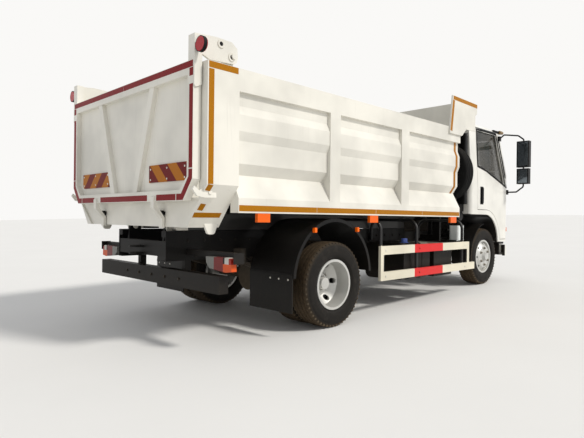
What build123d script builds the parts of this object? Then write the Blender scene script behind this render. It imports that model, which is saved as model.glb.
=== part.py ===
from build123d import *
import os
from math import cos, radians, sin, sqrt, tan

os.makedirs("parts", exist_ok=True)

# Driving dimensions, in millimetres. X runs forward from the rear axle, Y to the left, Z up.
# Heights of sprung pieces are measured square to the frame, from the ground under the rear axle.

# Stance and running gear
RAKE = 1.59  # degrees that the unladen frame sits nose down on its rear springs
WHEELBASE = 3460
TYRE_R = 400
TYRE_W = 235
RIM_R = 235  # outer radius of the rim flange
BEAD_R = 223  # radius of the bead seat
RIM_W = 200  # width over the two rim flanges
FLANGE_T = 12
DISC_T = 12
FRONT_WHEEL_Y = 842  # middle plane of a front tyre
REAR_WHEEL_Y = 991  # middle plane of an outer rear tyre
DUAL_OFFSET = 130  # from a rear tyre's middle plane to the face that the twin discs share
FRONT_FACE_OFFSET = 112  # from a front tyre's middle plane out to its hub face
KINGPIN_Y = 775
KINGPIN_R = 18
SPINDLE_R = 30
AXLE_TUBE_R = 55
RUN_FIT = 0.05  # radial clearance of a running pin or bearing
SEAT = 0.3  # clearance where a piece seats without touching

# Frame
FRAME_HALF = 425
RAIL_H = 210
RAIL_FLANGE = 70
RAIL_T = 8
RAIL_TOP = 850
FRAME_REAR = -1395
FRAME_FRONT = WHEELBASE + 580
SUBFRAME_H = 45

# Load body
BODY_HALF = 1150  # outer face of rails, ribs and posts
WALL_IN = BODY_HALF - 100  # inner face of the side walls
BODY_TOP = 2146
RAIL_DEPTH = 174  # height of the top rail
BODY_FRONT = WHEELBASE - 1153
BODY_REAR = -1498
POST_FRONT = -1206
SILL_BOTTOM = 1051
SILL_TOP = 1165
FLOOR_TOP = 1160
FLOOR_T = 12
FRONT_WALL_T = 57
POST_BEND_Z = 1254  # where the post turns in
POST_FOOT_Z = 935
POST_FOOT_HALF = BODY_HALF - 250
POST_BOX = 90  # width of the post's foot
POST_TURN_Z = 1140  # where the post's inner face turns in
BED_SILL_BOTTOM = 900  # lower face of the long members under the floor
TILT_X = -1290  # the tipping hinge
TILT_Z = 925
TILT_PIN_R = 25
TILT_MAX = 50  # degrees that the body tips

# Tailgate
GATE_REAR = -1573
GATE_T = 66
GATE_HALF = BODY_HALF - 72
GATE_TOP = 2149
GATE_BOTTOM = 1136
GATE_BEND_Z = 1292
GATE_FOOT_HALF = GATE_HALF - 121
GATE_FRAME = 74  # width of the frame around the sunk panel
GATE_SINK = 42
HOOK_T = 14  # how far the lower hooks stand behind the gate
HOOK_BEND_Z = 1085
GATE_PIVOT_X = -1227
GATE_PIVOT_Z = 2239
GATE_PIN_R = 20
ARM_T = 20

# Guard over the cab
GUARD_TOP = 2530
GUARD_FRONT = BODY_FRONT + 418
CHEEK_T = 20

# Cab
CAB_HALF = 1000
CAB_REAR = WHEELBASE - 530
CAB_FRONT = WHEELBASE + 765
CAB_ROOF = 2371
CAB_FLOOR = 700
CAB_WALL = 45
ARCH_X = WHEELBASE - 60
ARCH_Z = 695
ARCH_R = 400
DOOR_T = 58
DOOR_GAP = 7
DOOR_REAR = WHEELBASE - 325
DOOR_FRONT = CAB_FRONT - 115
DOOR_BOTTOM = 738
DOOR_TOP = 2300
GLASS_T = 6
CAB_TILT_X = CAB_FRONT - 133
CAB_TILT_Z = 690
HINGE_X = DOOR_FRONT - 4
HINGE_Y = CAB_HALF - 16
HINGE_R = 8
HINGE_H = 60
DOOR_SWING = 65
DOOR_HINGES = (880, 1290)  # feet of the two door hinges

CAB_PIN_R = 20
TUNNEL_HALF = 460  # the cab floor is raised between the foot wells
TUNNEL_TOP = 880
TUNNEL_FRONT = CAB_FRONT - 105

# Hoist: the barrel's pin in the frame and the rod's eye under the floor
HOIST_X = 600
HOIST_Z = 700
HOIST_PIN_R = 25

GRILLE_FRONT = CAB_FRONT + 12
GRILLE_TOP = 1090

# Bumper and underride beam
BUMPER_FRONT = CAB_FRONT + 20
BUMPER_TOP = 645
BUMPER_BOTTOM = 480
BUMPER_HALF = 985
BEAM_REAR = -1290
BEAM_HALF = 1025
BEAM_TOP = 562
BEAM_BOTTOM = 422

# The origin lies on the ground under the middle of the overall length.
TIP_FRONT = GRILLE_FRONT * cos(radians(RAKE)) + GRILLE_TOP * sin(radians(RAKE))
TIP_REAR = (GATE_REAR - HOOK_T) * cos(radians(RAKE)) + HOOK_BEND_Z * sin(radians(RAKE))
MIDDLE = (TIP_FRONT + TIP_REAR) / 2
GROUND = Location((-MIDDLE, 0, 0))
SPRUNG = Location((-MIDDLE, 0, 0), (0, RAKE, 0))
SPRUNG_PLANE = Plane(SPRUNG)


# Sketch planes. Each takes the stance that the piece stands in.
def level(z, stance=SPRUNG):
    """Seen from above: local x forward, local y to the left."""
    return Plane(stance * Plane((0, 0, z), x_dir=(1, 0, 0), z_dir=(0, 0, 1)).location)


def upright(y, stance=SPRUNG):
    """Seen from the right: local x forward, local y up, facing right."""
    return Plane(stance * Plane((0, y, 0), x_dir=(1, 0, 0), z_dir=(0, -1, 0)).location)


def station(x, stance=SPRUNG):
    """Seen from behind: local x to the left, local y up, facing forward."""
    return Plane(stance * Plane((x, 0, 0), x_dir=(0, 1, 0), z_dir=(1, 0, 0)).location)


def wheel_plane(x, y):
    """Through a right-hand axle line: local x out along the axle, local y up."""
    return Plane((x - MIDDLE, -y, TYRE_R), x_dir=(0, -1, 0), z_dir=(1, 0, 0))


def slab(x0, x1, y0, y1, z0, z1, mode=Mode.ADD, stance=SPRUNG):
    """A box between two stations, two widths (left positive) and two heights."""
    with BuildSketch(level(z0, stance)) as outline:
        with Locations(((x0 + x1) / 2, (y0 + y1) / 2)):
            Rectangle(abs(x1 - x0), abs(y1 - y0))
    extrude(outline.sketch, amount=z1 - z0, mode=mode)


def side_plate(points, y, thick, mode=Mode.ADD, stance=SPRUNG):
    """A plate outlined in (x forward, z up), from the right-hand width y outwards."""
    with BuildSketch(upright(-y, stance)) as outline:
        with BuildLine():
            Polyline(*points, close=True)
        make_face()
    extrude(outline.sketch, amount=thick, mode=mode)


def cross_plate(points, x, length, mode=Mode.ADD, stance=SPRUNG):
    """A section outlined in (y left, z up), run forward from station x."""
    with BuildSketch(station(x, stance)) as outline:
        with BuildLine():
            Polyline(*points, close=True)
        make_face()
    extrude(outline.sketch, amount=length, mode=mode)


def bar(x, z, r, y0, y1, mode=Mode.ADD, stance=SPRUNG):
    """A round bar or bore across the vehicle, from width y0 to y1, right positive."""
    with BuildSketch(upright(-y0, stance)) as outline:
        with Locations((x, z)):
            Circle(r)
    extrude(outline.sketch, amount=y1 - y0, mode=mode)


def both_ways(points):
    """A closed outline from its right half: (y out, z up), first point at the top."""
    return [(-y, z) for y, z in points] + [(y, z) for y, z in reversed(points)]


def save(piece, name):
    piece.part.label = name
    export_step(piece.part, f"parts/{name}.step")


# Ladder frame: two channel rails, cross members, hoist subframe and rear hinge ears
RAIL_BOTTOM = RAIL_TOP - RAIL_H
CROSS_MEMBERS = (FRAME_REAR + 40, -620, 780, 1500, WHEELBASE - 1410, FRAME_FRONT - 80)  # stations of the cross members
CROSS_W = 70
CROSS_H = 130
EAR_R = 55
EAR_INNER_Y = 300
EAR_T = 30
SUBFRAME_FRONT = BODY_FRONT - 107
web = FRAME_HALF  # outer face of a rail's web
web_in = FRAME_HALF - RAIL_T
toe = FRAME_HALF - RAIL_FLANGE
CROSS_Z = RAIL_BOTTOM + 38
JAW_PLATES = (684, 745)  # lower faces of the towing jaw's two plates
JAW_X = -1455
JAW_R = 48
JAW_T = 16
JAW_PIN_R = 16

with BuildPart() as ladder_frame:
    cross_plate([(-web, RAIL_BOTTOM), (-toe, RAIL_BOTTOM), (-toe, RAIL_BOTTOM + RAIL_T),
                 (-web_in, RAIL_BOTTOM + RAIL_T), (-web_in, RAIL_TOP - RAIL_T),
                 (-toe, RAIL_TOP - RAIL_T), (-toe, RAIL_TOP), (-web, RAIL_TOP)],
                FRAME_REAR, FRAME_FRONT - FRAME_REAR)
    slab(FRAME_REAR, SUBFRAME_FRONT, -web, -toe, RAIL_TOP, RAIL_TOP + SUBFRAME_H)
    slab(FRAME_FRONT - 30, CAB_TILT_X, 22 - web_in, -web_in, CAB_TILT_Z - 32, CAB_TILT_Z + 32)
    mirror(about=Plane.XZ)
    for x in CROSS_MEMBERS:
        slab(x - CROSS_W / 2, x + CROSS_W / 2, SEAT - web_in, web_in - SEAT, CROSS_Z, CROSS_Z + CROSS_H)
    for side in (-1, 1):
        with BuildSketch(upright(side * EAR_INNER_Y)):
            with BuildLine():
                Polyline((TILT_X - EAR_R - 20, CROSS_Z + 10), (TILT_X + EAR_R + 20, CROSS_Z + 10),
                         (TILT_X + EAR_R, TILT_Z), (TILT_X - EAR_R, TILT_Z), close=True)
            make_face()
            with Locations((TILT_X, TILT_Z)):
                Circle(EAR_R)
                Circle(TILT_PIN_R + RUN_FIT, mode=Mode.SUBTRACT)
        extrude(amount=-side * EAR_T)
    bar(CAB_TILT_X, CAB_TILT_Z, CAB_PIN_R, 22 + SEAT - web_in, web_in - 22 - SEAT)
    bar(HOIST_X, HOIST_Z, HOIST_PIN_R, SEAT - web_in, web_in - SEAT)
    for z in JAW_PLATES:
        with BuildSketch(level(z)):
            with Locations((JAW_X, 0)):
                Circle(JAW_R)
            with Locations(((JAW_X + FRAME_REAR + 15) / 2, 0)):
                Rectangle(FRAME_REAR + 15 - JAW_X, 2 * JAW_R)
            with Locations((JAW_X, 0)):
                Circle(JAW_PIN_R, mode=Mode.SUBTRACT)
        extrude(amount=JAW_T)
save(ladder_frame, "ladder_frame")

# Floor of the load body: plate, bearers, two long members with hinge pins, and the apron
BEARER_PITCH = 430
BEARER_W = 60
APRON_X = -1480
APRON_T = 12
FLOOR_FRONT = BODY_FRONT - FRONT_WALL_T
LONG_FRONT = BODY_FRONT - 127
LONG_REAR = APRON_X + APRON_T
HOIST_EYE_X = TILT_X + 600
HOIST_EYE_Z = TILT_Z + 60
HOIST_LUG_Y = 56  # inner face of the lugs beside the rod's eye
BED_EAR_Y = EAR_INNER_Y + EAR_T + 6

with BuildPart() as bed_floor:
    slab(BODY_REAR, FLOOR_FRONT, -WALL_IN, WALL_IN, FLOOR_TOP - FLOOR_T, FLOOR_TOP)
    x = POST_FRONT + BEARER_PITCH
    while x < FLOOR_FRONT - BEARER_W:
        slab(x, x + BEARER_W, -WALL_IN, WALL_IN, SILL_BOTTOM, FLOOR_TOP - FLOOR_T)
        x += BEARER_PITCH
    for side in (-1, 1):
        side_plate([(LONG_REAR, FLOOR_TOP - FLOOR_T), (LONG_FRONT, FLOOR_TOP - FLOOR_T),
                    (LONG_FRONT, BED_SILL_BOTTOM), (TILT_X, BED_SILL_BOTTOM),
                    (LONG_REAR, BED_SILL_BOTTOM + (TILT_X - LONG_REAR) * tan(radians(TILT_MAX + 2)))],
                   toe if side < 0 else -web, web - toe)
        ear = side * BED_EAR_Y
        slab(TILT_X - EAR_R, TILT_X + EAR_R, ear, side * toe, TILT_Z, FLOOR_TOP - FLOOR_T)
        lug = side * HOIST_LUG_Y
        slab(HOIST_EYE_X - 50, HOIST_EYE_X + 50, lug, lug + side * 20, HOIST_EYE_Z - 50, FLOOR_TOP - FLOOR_T)
        with BuildSketch(upright(side * BED_EAR_Y)):
            with Locations((TILT_X, TILT_Z)):
                Circle(EAR_R)
        extrude(amount=-side * (toe - 6 - BED_EAR_Y))
        with BuildSketch(upright(side * (EAR_INNER_Y - 4))):
            with Locations((TILT_X, TILT_Z)):
                Circle(TILT_PIN_R)
        extrude(amount=-side * (toe - EAR_INNER_Y + 4))
    apron_foot = POST_FOOT_HALF - POST_BOX - SEAT
    apron_top = WALL_IN - SEAT
    cross_plate([(-apron_top, FLOOR_TOP - FLOOR_T), (apron_top, FLOOR_TOP - FLOOR_T),
                 (apron_top, POST_TURN_Z), (apron_foot, POST_FOOT_Z), (-apron_foot, POST_FOOT_Z),
                 (-apron_top, POST_TURN_Z)], APRON_X, APRON_T)
save(bed_floor, "bed_floor")

# Side walls: a pressed panel between two ribs, under the box rail and over the sill
# Outer profile from the sill to the rail: (y out, z up)
PANEL_LOW = BODY_HALF - 35
PANEL_HIGH = BODY_HALF - 8
PANEL = ((BODY_HALF, SILL_TOP), (WALL_IN + 8, 1345), (PANEL_LOW, 1430), (PANEL_LOW, 1605), (PANEL_HIGH, 1675),
         (PANEL_HIGH, 1800), (PANEL_LOW, 1870), (PANEL_LOW, BODY_TOP - RAIL_DEPTH))
RIBS = ((-155, -12), (1003, 1150))  # rear and front station of each rib

with BuildPart() as bed_side_right:
    outline = [(-WALL_IN, SILL_BOTTOM), (-BODY_HALF, SILL_BOTTOM)]
    outline += [(-y, z) for y, z in PANEL]
    outline += [(-BODY_HALF, BODY_TOP - RAIL_DEPTH), (-BODY_HALF, BODY_TOP), (-WALL_IN, BODY_TOP)]
    cross_plate(outline, POST_FRONT, BODY_FRONT - POST_FRONT)
    for rear, front in RIBS:
        slab(rear, front, -BODY_HALF, -WALL_IN - 4, SILL_TOP - 20, BODY_TOP - RAIL_DEPTH + 20)
save(bed_side_right, "bed_side_right")

with BuildPart() as bed_side_left:
    mirror(bed_side_right.part, about=Plane.XZ)
save(bed_side_left, "bed_side_left")

# Rear posts with the ears that carry the tailgate
EAR_Y = BODY_HALF - 114
POST_EAR_T = 26
POST_EAR_R = 44
POST_PIN_END = BODY_HALF - 42
FOOT_EAR_Z = 882
FOOT_EAR_T = 24
CLAW_Y = BODY_HALF - 64  # inner face of the latch claw beside the gate
CLAW_T = 20
# Claw outline: (x forward, z up)
CLAW = ((-1380, 1160), (-1380, 1245), (-1480, 1252), (-1530, 1206), (-1572, 1240), (-1586, 1216),
        (-1548, 1168), (-1480, 1158))

with BuildPart() as rear_posts:
    cross_plate([(-WALL_IN, BODY_TOP), (-BODY_HALF, BODY_TOP), (-BODY_HALF, POST_BEND_Z),
                 (-POST_FOOT_HALF, POST_FOOT_Z), (-POST_FOOT_HALF + POST_BOX, POST_FOOT_Z),
                 (-WALL_IN, POST_TURN_Z)], BODY_REAR, POST_FRONT - BODY_REAR)
    side_plate([(GATE_PIVOT_X - 90, BODY_TOP - 60), (POST_FRONT, BODY_TOP - 60),
                (POST_FRONT, BODY_TOP + 40), (GATE_PIVOT_X + 20, GATE_PIVOT_Z + 38),
                (GATE_PIVOT_X - 20, GATE_PIVOT_Z + 38), (GATE_PIVOT_X - 90, BODY_TOP + 10)],
               EAR_Y, POST_EAR_T)
    bar(GATE_PIVOT_X, GATE_PIVOT_Z, POST_EAR_R, EAR_Y, EAR_Y + POST_EAR_T)
    bar(GATE_PIVOT_X, GATE_PIVOT_Z, GATE_PIN_R, EAR_Y, POST_PIN_END)
    with BuildSketch(upright(-POST_FOOT_HALF)):
        with BuildLine():
            FilletPolyline((-1395, 1040), (-1195, 1060), (-1262, FOOT_EAR_Z), (-1322, FOOT_EAR_Z), radius=28, close=True)
        make_face()
    extrude(amount=FOOT_EAR_T)
    side_plate(CLAW, CLAW_Y, CLAW_T)
    bar(BODY_REAR + 60, 1200, 16, WALL_IN, CLAW_Y + CLAW_T + 8)
    mirror(about=Plane.XZ)
save(rear_posts, "rear_posts")

# Front wall of the load body with the guard that reaches over the cab
CANOPY_Z = GUARD_TOP - 78
CANOPY_T = 18
# Cheek outline: (x forward, z up)
CHEEK = ((BODY_FRONT - 237, GUARD_TOP), (GUARD_FRONT, GUARD_TOP - 12), (GUARD_FRONT - 12, GUARD_TOP - 138),
         (GUARD_FRONT - 143, GUARD_TOP - 230), (BODY_FRONT + 6, 2063), (BODY_FRONT - 305, 2063))

with BuildPart() as bed_headboard:
    slab(FLOOR_FRONT, BODY_FRONT, -WALL_IN, WALL_IN, SILL_BOTTOM, BODY_TOP)
    slab(FLOOR_FRONT, BODY_FRONT, -BODY_HALF, BODY_HALF, BODY_TOP, CANOPY_Z)
    slab(FLOOR_FRONT, GUARD_FRONT - 15, -BODY_HALF, BODY_HALF, CANOPY_Z, CANOPY_Z + CANOPY_T)
    for side in (-1, 1):
        with BuildSketch(upright(side * (BODY_HALF + SEAT))):
            with BuildLine():
                Polyline(*CHEEK, close=True)
            make_face()
        extrude(amount=-side * CHEEK_T)
    for side in (-1, 1):
        slab(FLOOR_FRONT, GUARD_FRONT - 15, side * (BODY_HALF - 6), side * (BODY_HALF + SEAT),
             BODY_TOP + 20, CANOPY_Z + CANOPY_T, Mode.ADD)
save(bed_headboard, "bed_headboard")

# Tailgate: a framed panel hung from two arms on the posts
ARM_Y = EAR_Y + POST_EAR_T + 8  # inner face of an arm
GATE_FRONT = GATE_REAR + GATE_T
UPRIGHT_IN = BODY_HALF - 140
UPRIGHT_TOP = 2335
GATE_OUTLINE = ((GATE_HALF, GATE_TOP), (GATE_HALF, GATE_BEND_Z), (GATE_FOOT_HALF, GATE_BOTTOM))
GATE_PANEL = ((GATE_HALF - GATE_FRAME, GATE_TOP - 100), (GATE_HALF - GATE_FRAME, GATE_BEND_Z + 20),
              (GATE_FOOT_HALF - 50, GATE_BOTTOM + 80))
GATE_RIB_TOP_Y = 480  # middle of a slanted rib at the top of the panel
GATE_RIB_FOOT_Y = 200
GATE_RIB_W = 75
GATE_HOOK_Y = 535  # middle of a hook that hangs over the apron
# Arm outline: (x forward, z up)
ARM = ((GATE_REAR, 2196), (-1500, 2196), (-1440, 2172), (-1215, 2186), (-1190, 2200), (-1180, 2245),
       (-1186, 2310), (-1240, 2348), (-1380, 2352), (GATE_REAR, 2335))
LAMP_Y = BODY_HALF - 2
LAMP_Z = 2244
LAMP_R = 52


with BuildPart() as tailgate:
    cross_plate(both_ways(GATE_OUTLINE), GATE_REAR, GATE_T)
    cross_plate(both_ways(GATE_PANEL), GATE_REAR, GATE_SINK, Mode.SUBTRACT)
    for side in (-1, 1):
        top = side * GATE_RIB_TOP_Y
        foot = side * GATE_RIB_FOOT_Y
        half = GATE_RIB_W / 2
        cross_plate([(top - half, GATE_TOP - 96), (top + half, GATE_TOP - 96),
                     (foot + half, GATE_BOTTOM + 76), (foot - half, GATE_BOTTOM + 76)],
                    GATE_REAR + 6, GATE_T - 10)
        hook = side * GATE_HOOK_Y
        with BuildSketch(upright(hook - 25)):
            with BuildLine():
                Polyline((GATE_REAR, 1180), (GATE_REAR - HOOK_T, 1170), (GATE_REAR - HOOK_T, HOOK_BEND_Z),
                         (APRON_X - 30, 1000), (APRON_X - 30, POST_FOOT_Z - 10), (APRON_X - 7, POST_FOOT_Z - 10),
                         (APRON_X - 7, 1010), (GATE_REAR + 20, 1095), (GATE_REAR + 20, 1180), close=True)
            make_face()
        extrude(amount=-50)
        slab(GATE_REAR, GATE_FRONT, side * UPRIGHT_IN, side * (ARM_Y + ARM_T), GATE_TOP + SEAT, UPRIGHT_TOP)
        with BuildSketch(upright(side * ARM_Y)):
            with BuildLine():
                Polyline(*ARM, close=True)
            make_face()
            with Locations((GATE_PIVOT_X, GATE_PIVOT_Z)):
                Circle(GATE_PIN_R + RUN_FIT, mode=Mode.SUBTRACT)
        extrude(amount=-side * ARM_T)
        with BuildSketch(upright(side * (GATE_HALF + SEAT))):
            with BuildLine():
                FilletPolyline((GATE_REAR, GATE_TOP + 60), (GATE_FRONT, GATE_TOP + 60), (GATE_FRONT, GATE_TOP - 174),
                               (GATE_REAR + 14, GATE_TOP - 199), (GATE_REAR, GATE_TOP - 181), radius=12, close=True)
            make_face()
        extrude(amount=-side * (ARM_Y + ARM_T - GATE_HALF - SEAT))
save(tailgate, "tailgate")

with BuildPart() as gate_lamps:
    for side in (-1, 1):
        with BuildSketch(station(GATE_REAR + 4)):
            with Locations((side * LAMP_Y, LAMP_Z)):
                Circle(LAMP_R)
            with Locations((side * (ARM_Y + ARM_T + 20 + SEAT), LAMP_Z)):
                Rectangle(40, 30)
        extrude(amount=34)
save(gate_lamps, "gate_lamps")


# Cab: side, plan and front outlines crossed, then hollowed by the same outlines set in
def cab_form(inset):
    """The cab's outer form, shrunk by an inset."""
    with BuildPart() as form:
        with BuildSketch(upright(0)) as side_view:
            with BuildLine():
                FilletPolyline((CAB_REAR, ARCH_Z + ARCH_R), (CAB_REAR, CAB_ROOF), (CAB_FRONT - 665, CAB_ROOF),
                               (CAB_FRONT - 320, CAB_ROOF - 66), (CAB_FRONT - 47, 1490), (CAB_FRONT, 1230),
                               (CAB_FRONT, 790), (CAB_FRONT - 75, CAB_FLOOR), (ARCH_X + ARCH_R, CAB_FLOOR),
                               radius=[60, 300, 110, 400, 400, 150, 60])
                Polyline((ARCH_X + ARCH_R, CAB_FLOOR), (ARCH_X + ARCH_R, ARCH_Z))
                CenterArc((ARCH_X, ARCH_Z), ARCH_R, 0, 90)
                Polyline((ARCH_X, ARCH_Z + ARCH_R), (CAB_REAR, ARCH_Z + ARCH_R))
            make_face()
            if inset:
                offset(amount=-inset, kind=Kind.INTERSECTION, mode=Mode.REPLACE)
        extrude(side_view.sketch, amount=CAB_HALF + 50, both=True)
        with BuildSketch(level(CAB_ROOF / 2)) as plan:
            with Locations(((CAB_REAR + CAB_FRONT) / 2, 0)):
                Rectangle(CAB_FRONT - CAB_REAR - 2 * inset + 6, 2 * (CAB_HALF - inset) + 4)
            fillet(plan.vertices().sort_by(Axis.X)[:2], radius=max(60 - inset, 2))
            fillet(plan.vertices().sort_by(Axis.X)[-2:], radius=190 - inset)
        extrude(plan.sketch, amount=CAB_ROOF, both=True, mode=Mode.INTERSECT)
        with BuildSketch(station((CAB_REAR + CAB_FRONT) / 2)) as front_view:
            with BuildLine():
                FilletPolyline((-CAB_HALF, CAB_FLOOR - 50), (-CAB_HALF, 1450), (-CAB_HALF + 50, CAB_ROOF + 2),
                               (CAB_HALF - 50, CAB_ROOF + 2), (CAB_HALF, 1450), (CAB_HALF, CAB_FLOOR - 50),
                               radius=[600, 100, 100, 600])
                Line((CAB_HALF, CAB_FLOOR - 50), (-CAB_HALF, CAB_FLOOR - 50))
            make_face()
            if inset:
                offset(amount=-inset, kind=Kind.INTERSECTION, mode=Mode.REPLACE)
        extrude(front_view.sketch, amount=CAB_FRONT - CAB_REAR, both=True, mode=Mode.INTERSECT)
        half = TUNNEL_HALF + inset
        slab(ARCH_X, TUNNEL_FRONT + inset, -half, half, CAB_FLOOR - 50, TUNNEL_TOP + inset, Mode.SUBTRACT)
    return form.part


LIP = 70  # width of the lip around the wheel arch


def door_outline(grow):
    """Side view of the right-hand door, grown by a gap: a prism from inside the wall outwards."""
    with BuildPart() as prism:
        with BuildSketch(upright(-CAB_HALF + 50)) as outline:
            with BuildLine():
                arch = ARCH_R + LIP
                start = ARCH_X + sqrt(arch**2 - (DOOR_BOTTOM - ARCH_Z)**2)
                mid = (ARCH_X + arch * cos(radians(50)), ARCH_Z + arch * sin(radians(50)))
                Polyline((ARCH_X, ARCH_Z + arch), (DOOR_REAR, ARCH_Z + arch), (DOOR_REAR, DOOR_TOP),
                         (DOOR_FRONT - 310, DOOR_TOP), (DOOR_FRONT - 35, 1480), (DOOR_FRONT, 1400),
                         (DOOR_FRONT, DOOR_BOTTOM),
                         (start, DOOR_BOTTOM))
                ThreePointArc((start, DOOR_BOTTOM), mid, (ARCH_X, ARCH_Z + arch))
            make_face()
            if grow:
                offset(amount=grow, kind=Kind.INTERSECTION, mode=Mode.REPLACE)
        extrude(outline.sketch, amount=80, both=True)
    return prism.part


# Door window: (x forward, z up)
DOOR_WINDOW = ((DOOR_REAR + 33, 1772), (DOOR_REAR + 33, 2268), (DOOR_FRONT - 338, 2268),
               (DOOR_FRONT - 70, 1535), (DOOR_REAR + 295, 1735))


def window_prism(inset):
    with BuildPart() as prism:
        with BuildSketch(upright(-CAB_HALF + 50)) as outline:
            with BuildLine():
                Polyline(*DOOR_WINDOW, close=True)
            make_face()
            fillet(outline.vertices(), radius=36)
            if inset:
                offset(amount=-inset, mode=Mode.REPLACE)
        extrude(outline.sketch, amount=80, both=True)
    return prism.part


# Windscreen and rear window: (y out, z up), a prism along X
SCREEN = ((-880, 2235), (880, 2235), (940, 1530), (-940, 1530))
REAR_WINDOW = ((-560, 2080), (560, 2080), (560, 1640), (-560, 1640))


def screen_prism(points, x, inset):
    with BuildPart() as prism:
        with BuildSketch(station(x)) as outline:
            with BuildLine():
                Polyline(*points, close=True)
            make_face()
            fillet(outline.vertices(), radius=60)
            if inset:
                offset(amount=-inset, mode=Mode.REPLACE)
        extrude(outline.sketch, amount=250, both=True)
    return prism.part


outer_form = cab_form(0)
seat_form = cab_form(-SEAT)
inner_form = cab_form(CAB_WALL)
dash_room = cab_form(CAB_WALL + SEAT)
glass_outer = cab_form(20)
glass_inner = cab_form(20 + GLASS_T)
door_inner = cab_form(DOOR_T)
door_hole = door_outline(DOOR_GAP)
door_solid = door_outline(0)
SCREEN_X = CAB_FRONT - 165
CAB_LUG_R = 32
CAB_LUG_Y = 360
CAB_LUG_T = 30

# The foot flange of the door is cut back here to pass the wheel arch as it opens
TOE = ((HINGE_X - 251, -CAB_HALF + DOOR_T - 2), (HINGE_X - 234, -CAB_HALF + DOOR_T - 2),
       (HINGE_X - 206, -CAB_HALF + DOOR_T + 76), (HINGE_X - 251, -CAB_HALF + DOOR_T + 76))
TOE_H = 40

# What the door's front edge sweeps behind its outer skin as it opens
DOOR_SKIN = 12
hinge_axis = Axis((SPRUNG * Pos(HINGE_X, -HINGE_Y, 0)).position, (SPRUNG * Pos(0, 0, 1)).position - SPRUNG.position)
swing_edge = (cab_form(DOOR_SKIN) - cab_form(DOOR_T + 5)) & door_outline(4)
EDGE = ((DOOR_FRONT + 10, DOOR_BOTTOM - 10), (DOOR_FRONT + 10, 1400), (DOOR_FRONT - 25, 1480),
        (DOOR_FRONT - 300, DOOR_TOP + 10), (DOOR_FRONT - 370, DOOR_TOP + 10), (DOOR_FRONT - 100, 1480),
        (DOOR_FRONT - 70, DOOR_BOTTOM - 10))
with BuildPart() as front_edge:
    side_plate(EDGE, CAB_HALF - 150, 200)
swing_edge = swing_edge & front_edge.part
WELL_IN = 560  # the wheel well is deeper between these widths, for the steered tyre
WELL_OUT = CAB_HALF - 44
WELL = ((ARCH_X + ARCH_R - 12, CAB_FLOOR - 10), (ARCH_X + ARCH_R + 54, CAB_FLOOR - 10),
        (ARCH_X + ARCH_R + 14, CAB_FLOOR + 64), (ARCH_X + ARCH_R - 16, CAB_FLOOR + 102))

with BuildPart() as cab_shell:
    add(outer_form)
    add(inner_form, mode=Mode.SUBTRACT)
    add(door_hole, mode=Mode.SUBTRACT)
    add(door_hole.mirror(Plane.XZ), mode=Mode.SUBTRACT)
    for angle in range(0, DOOR_SWING + 8, 8):
        swept = swing_edge.rotate(hinge_axis, angle)
        add(swept, mode=Mode.SUBTRACT)
        add(swept.mirror(Plane.XZ), mode=Mode.SUBTRACT)
    side_plate(WELL, WELL_IN, WELL_OUT - WELL_IN, Mode.SUBTRACT)
    side_plate(WELL, -WELL_OUT, WELL_OUT - WELL_IN, Mode.SUBTRACT)
    add(screen_prism(SCREEN, SCREEN_X, 0), mode=Mode.SUBTRACT)
    add(screen_prism(REAR_WINDOW, CAB_REAR, 0), mode=Mode.SUBTRACT)
    for side in (-1, 1):
        with BuildSketch(upright(side * CAB_LUG_Y + CAB_LUG_T / 2)):
            with Locations((CAB_TILT_X, CAB_TILT_Z)):
                Circle(CAB_LUG_R)
            with Locations((CAB_TILT_X + 20, CAB_TILT_Z + 60)):
                Rectangle(44, 120)
            with Locations((CAB_TILT_X, CAB_TILT_Z)):
                Circle(CAB_PIN_R + RUN_FIT, mode=Mode.SUBTRACT)
        extrude(amount=CAB_LUG_T)
save(cab_shell, "cab_shell")

with BuildPart() as door_right:
    add(outer_form)
    add(door_solid, mode=Mode.INTERSECT)
    add(door_inner, mode=Mode.SUBTRACT)
    add(window_prism(0), mode=Mode.SUBTRACT)
    with BuildSketch(level(DOOR_BOTTOM - 10)):
        Polygon(*TOE, align=None)
    extrude(amount=TOE_H, mode=Mode.SUBTRACT)
    for z in DOOR_HINGES:
        with BuildSketch(level(z)):
            with Locations((HINGE_X, -HINGE_Y)):
                Circle(HINGE_R)
        extrude(amount=HINGE_H)
save(door_right, "door_right")

with BuildPart() as door_glass_right:
    add(glass_outer)
    add(glass_inner, mode=Mode.SUBTRACT)
    add(window_prism(SEAT), mode=Mode.INTERSECT)
save(door_glass_right, "door_glass_right")

with BuildPart() as door_left:
    mirror(door_right.part, about=Plane.XZ)
save(door_left, "door_left")

with BuildPart() as door_glass_left:
    mirror(door_glass_right.part, about=Plane.XZ)
save(door_glass_left, "door_glass_left")

with BuildPart() as cab_glass:
    add(glass_outer)
    add(glass_inner, mode=Mode.SUBTRACT)
    windows = screen_prism(SCREEN, SCREEN_X, SEAT) + screen_prism(REAR_WINDOW, CAB_REAR, SEAT)
    add(windows, mode=Mode.INTERSECT)
save(cab_glass, "cab_glass")

# Cab inside: seats, and the dashboard with column and steering wheel
# Seats: middle and half width
SEATS = ((-330, 380), (480, 240))
SEAT_FLOOR = ARCH_Z + ARCH_R + CAB_WALL
SEAT_X = CAB_REAR + 110
CUSHION_TOP = 1300
BACK_TOP = 1860

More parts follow.
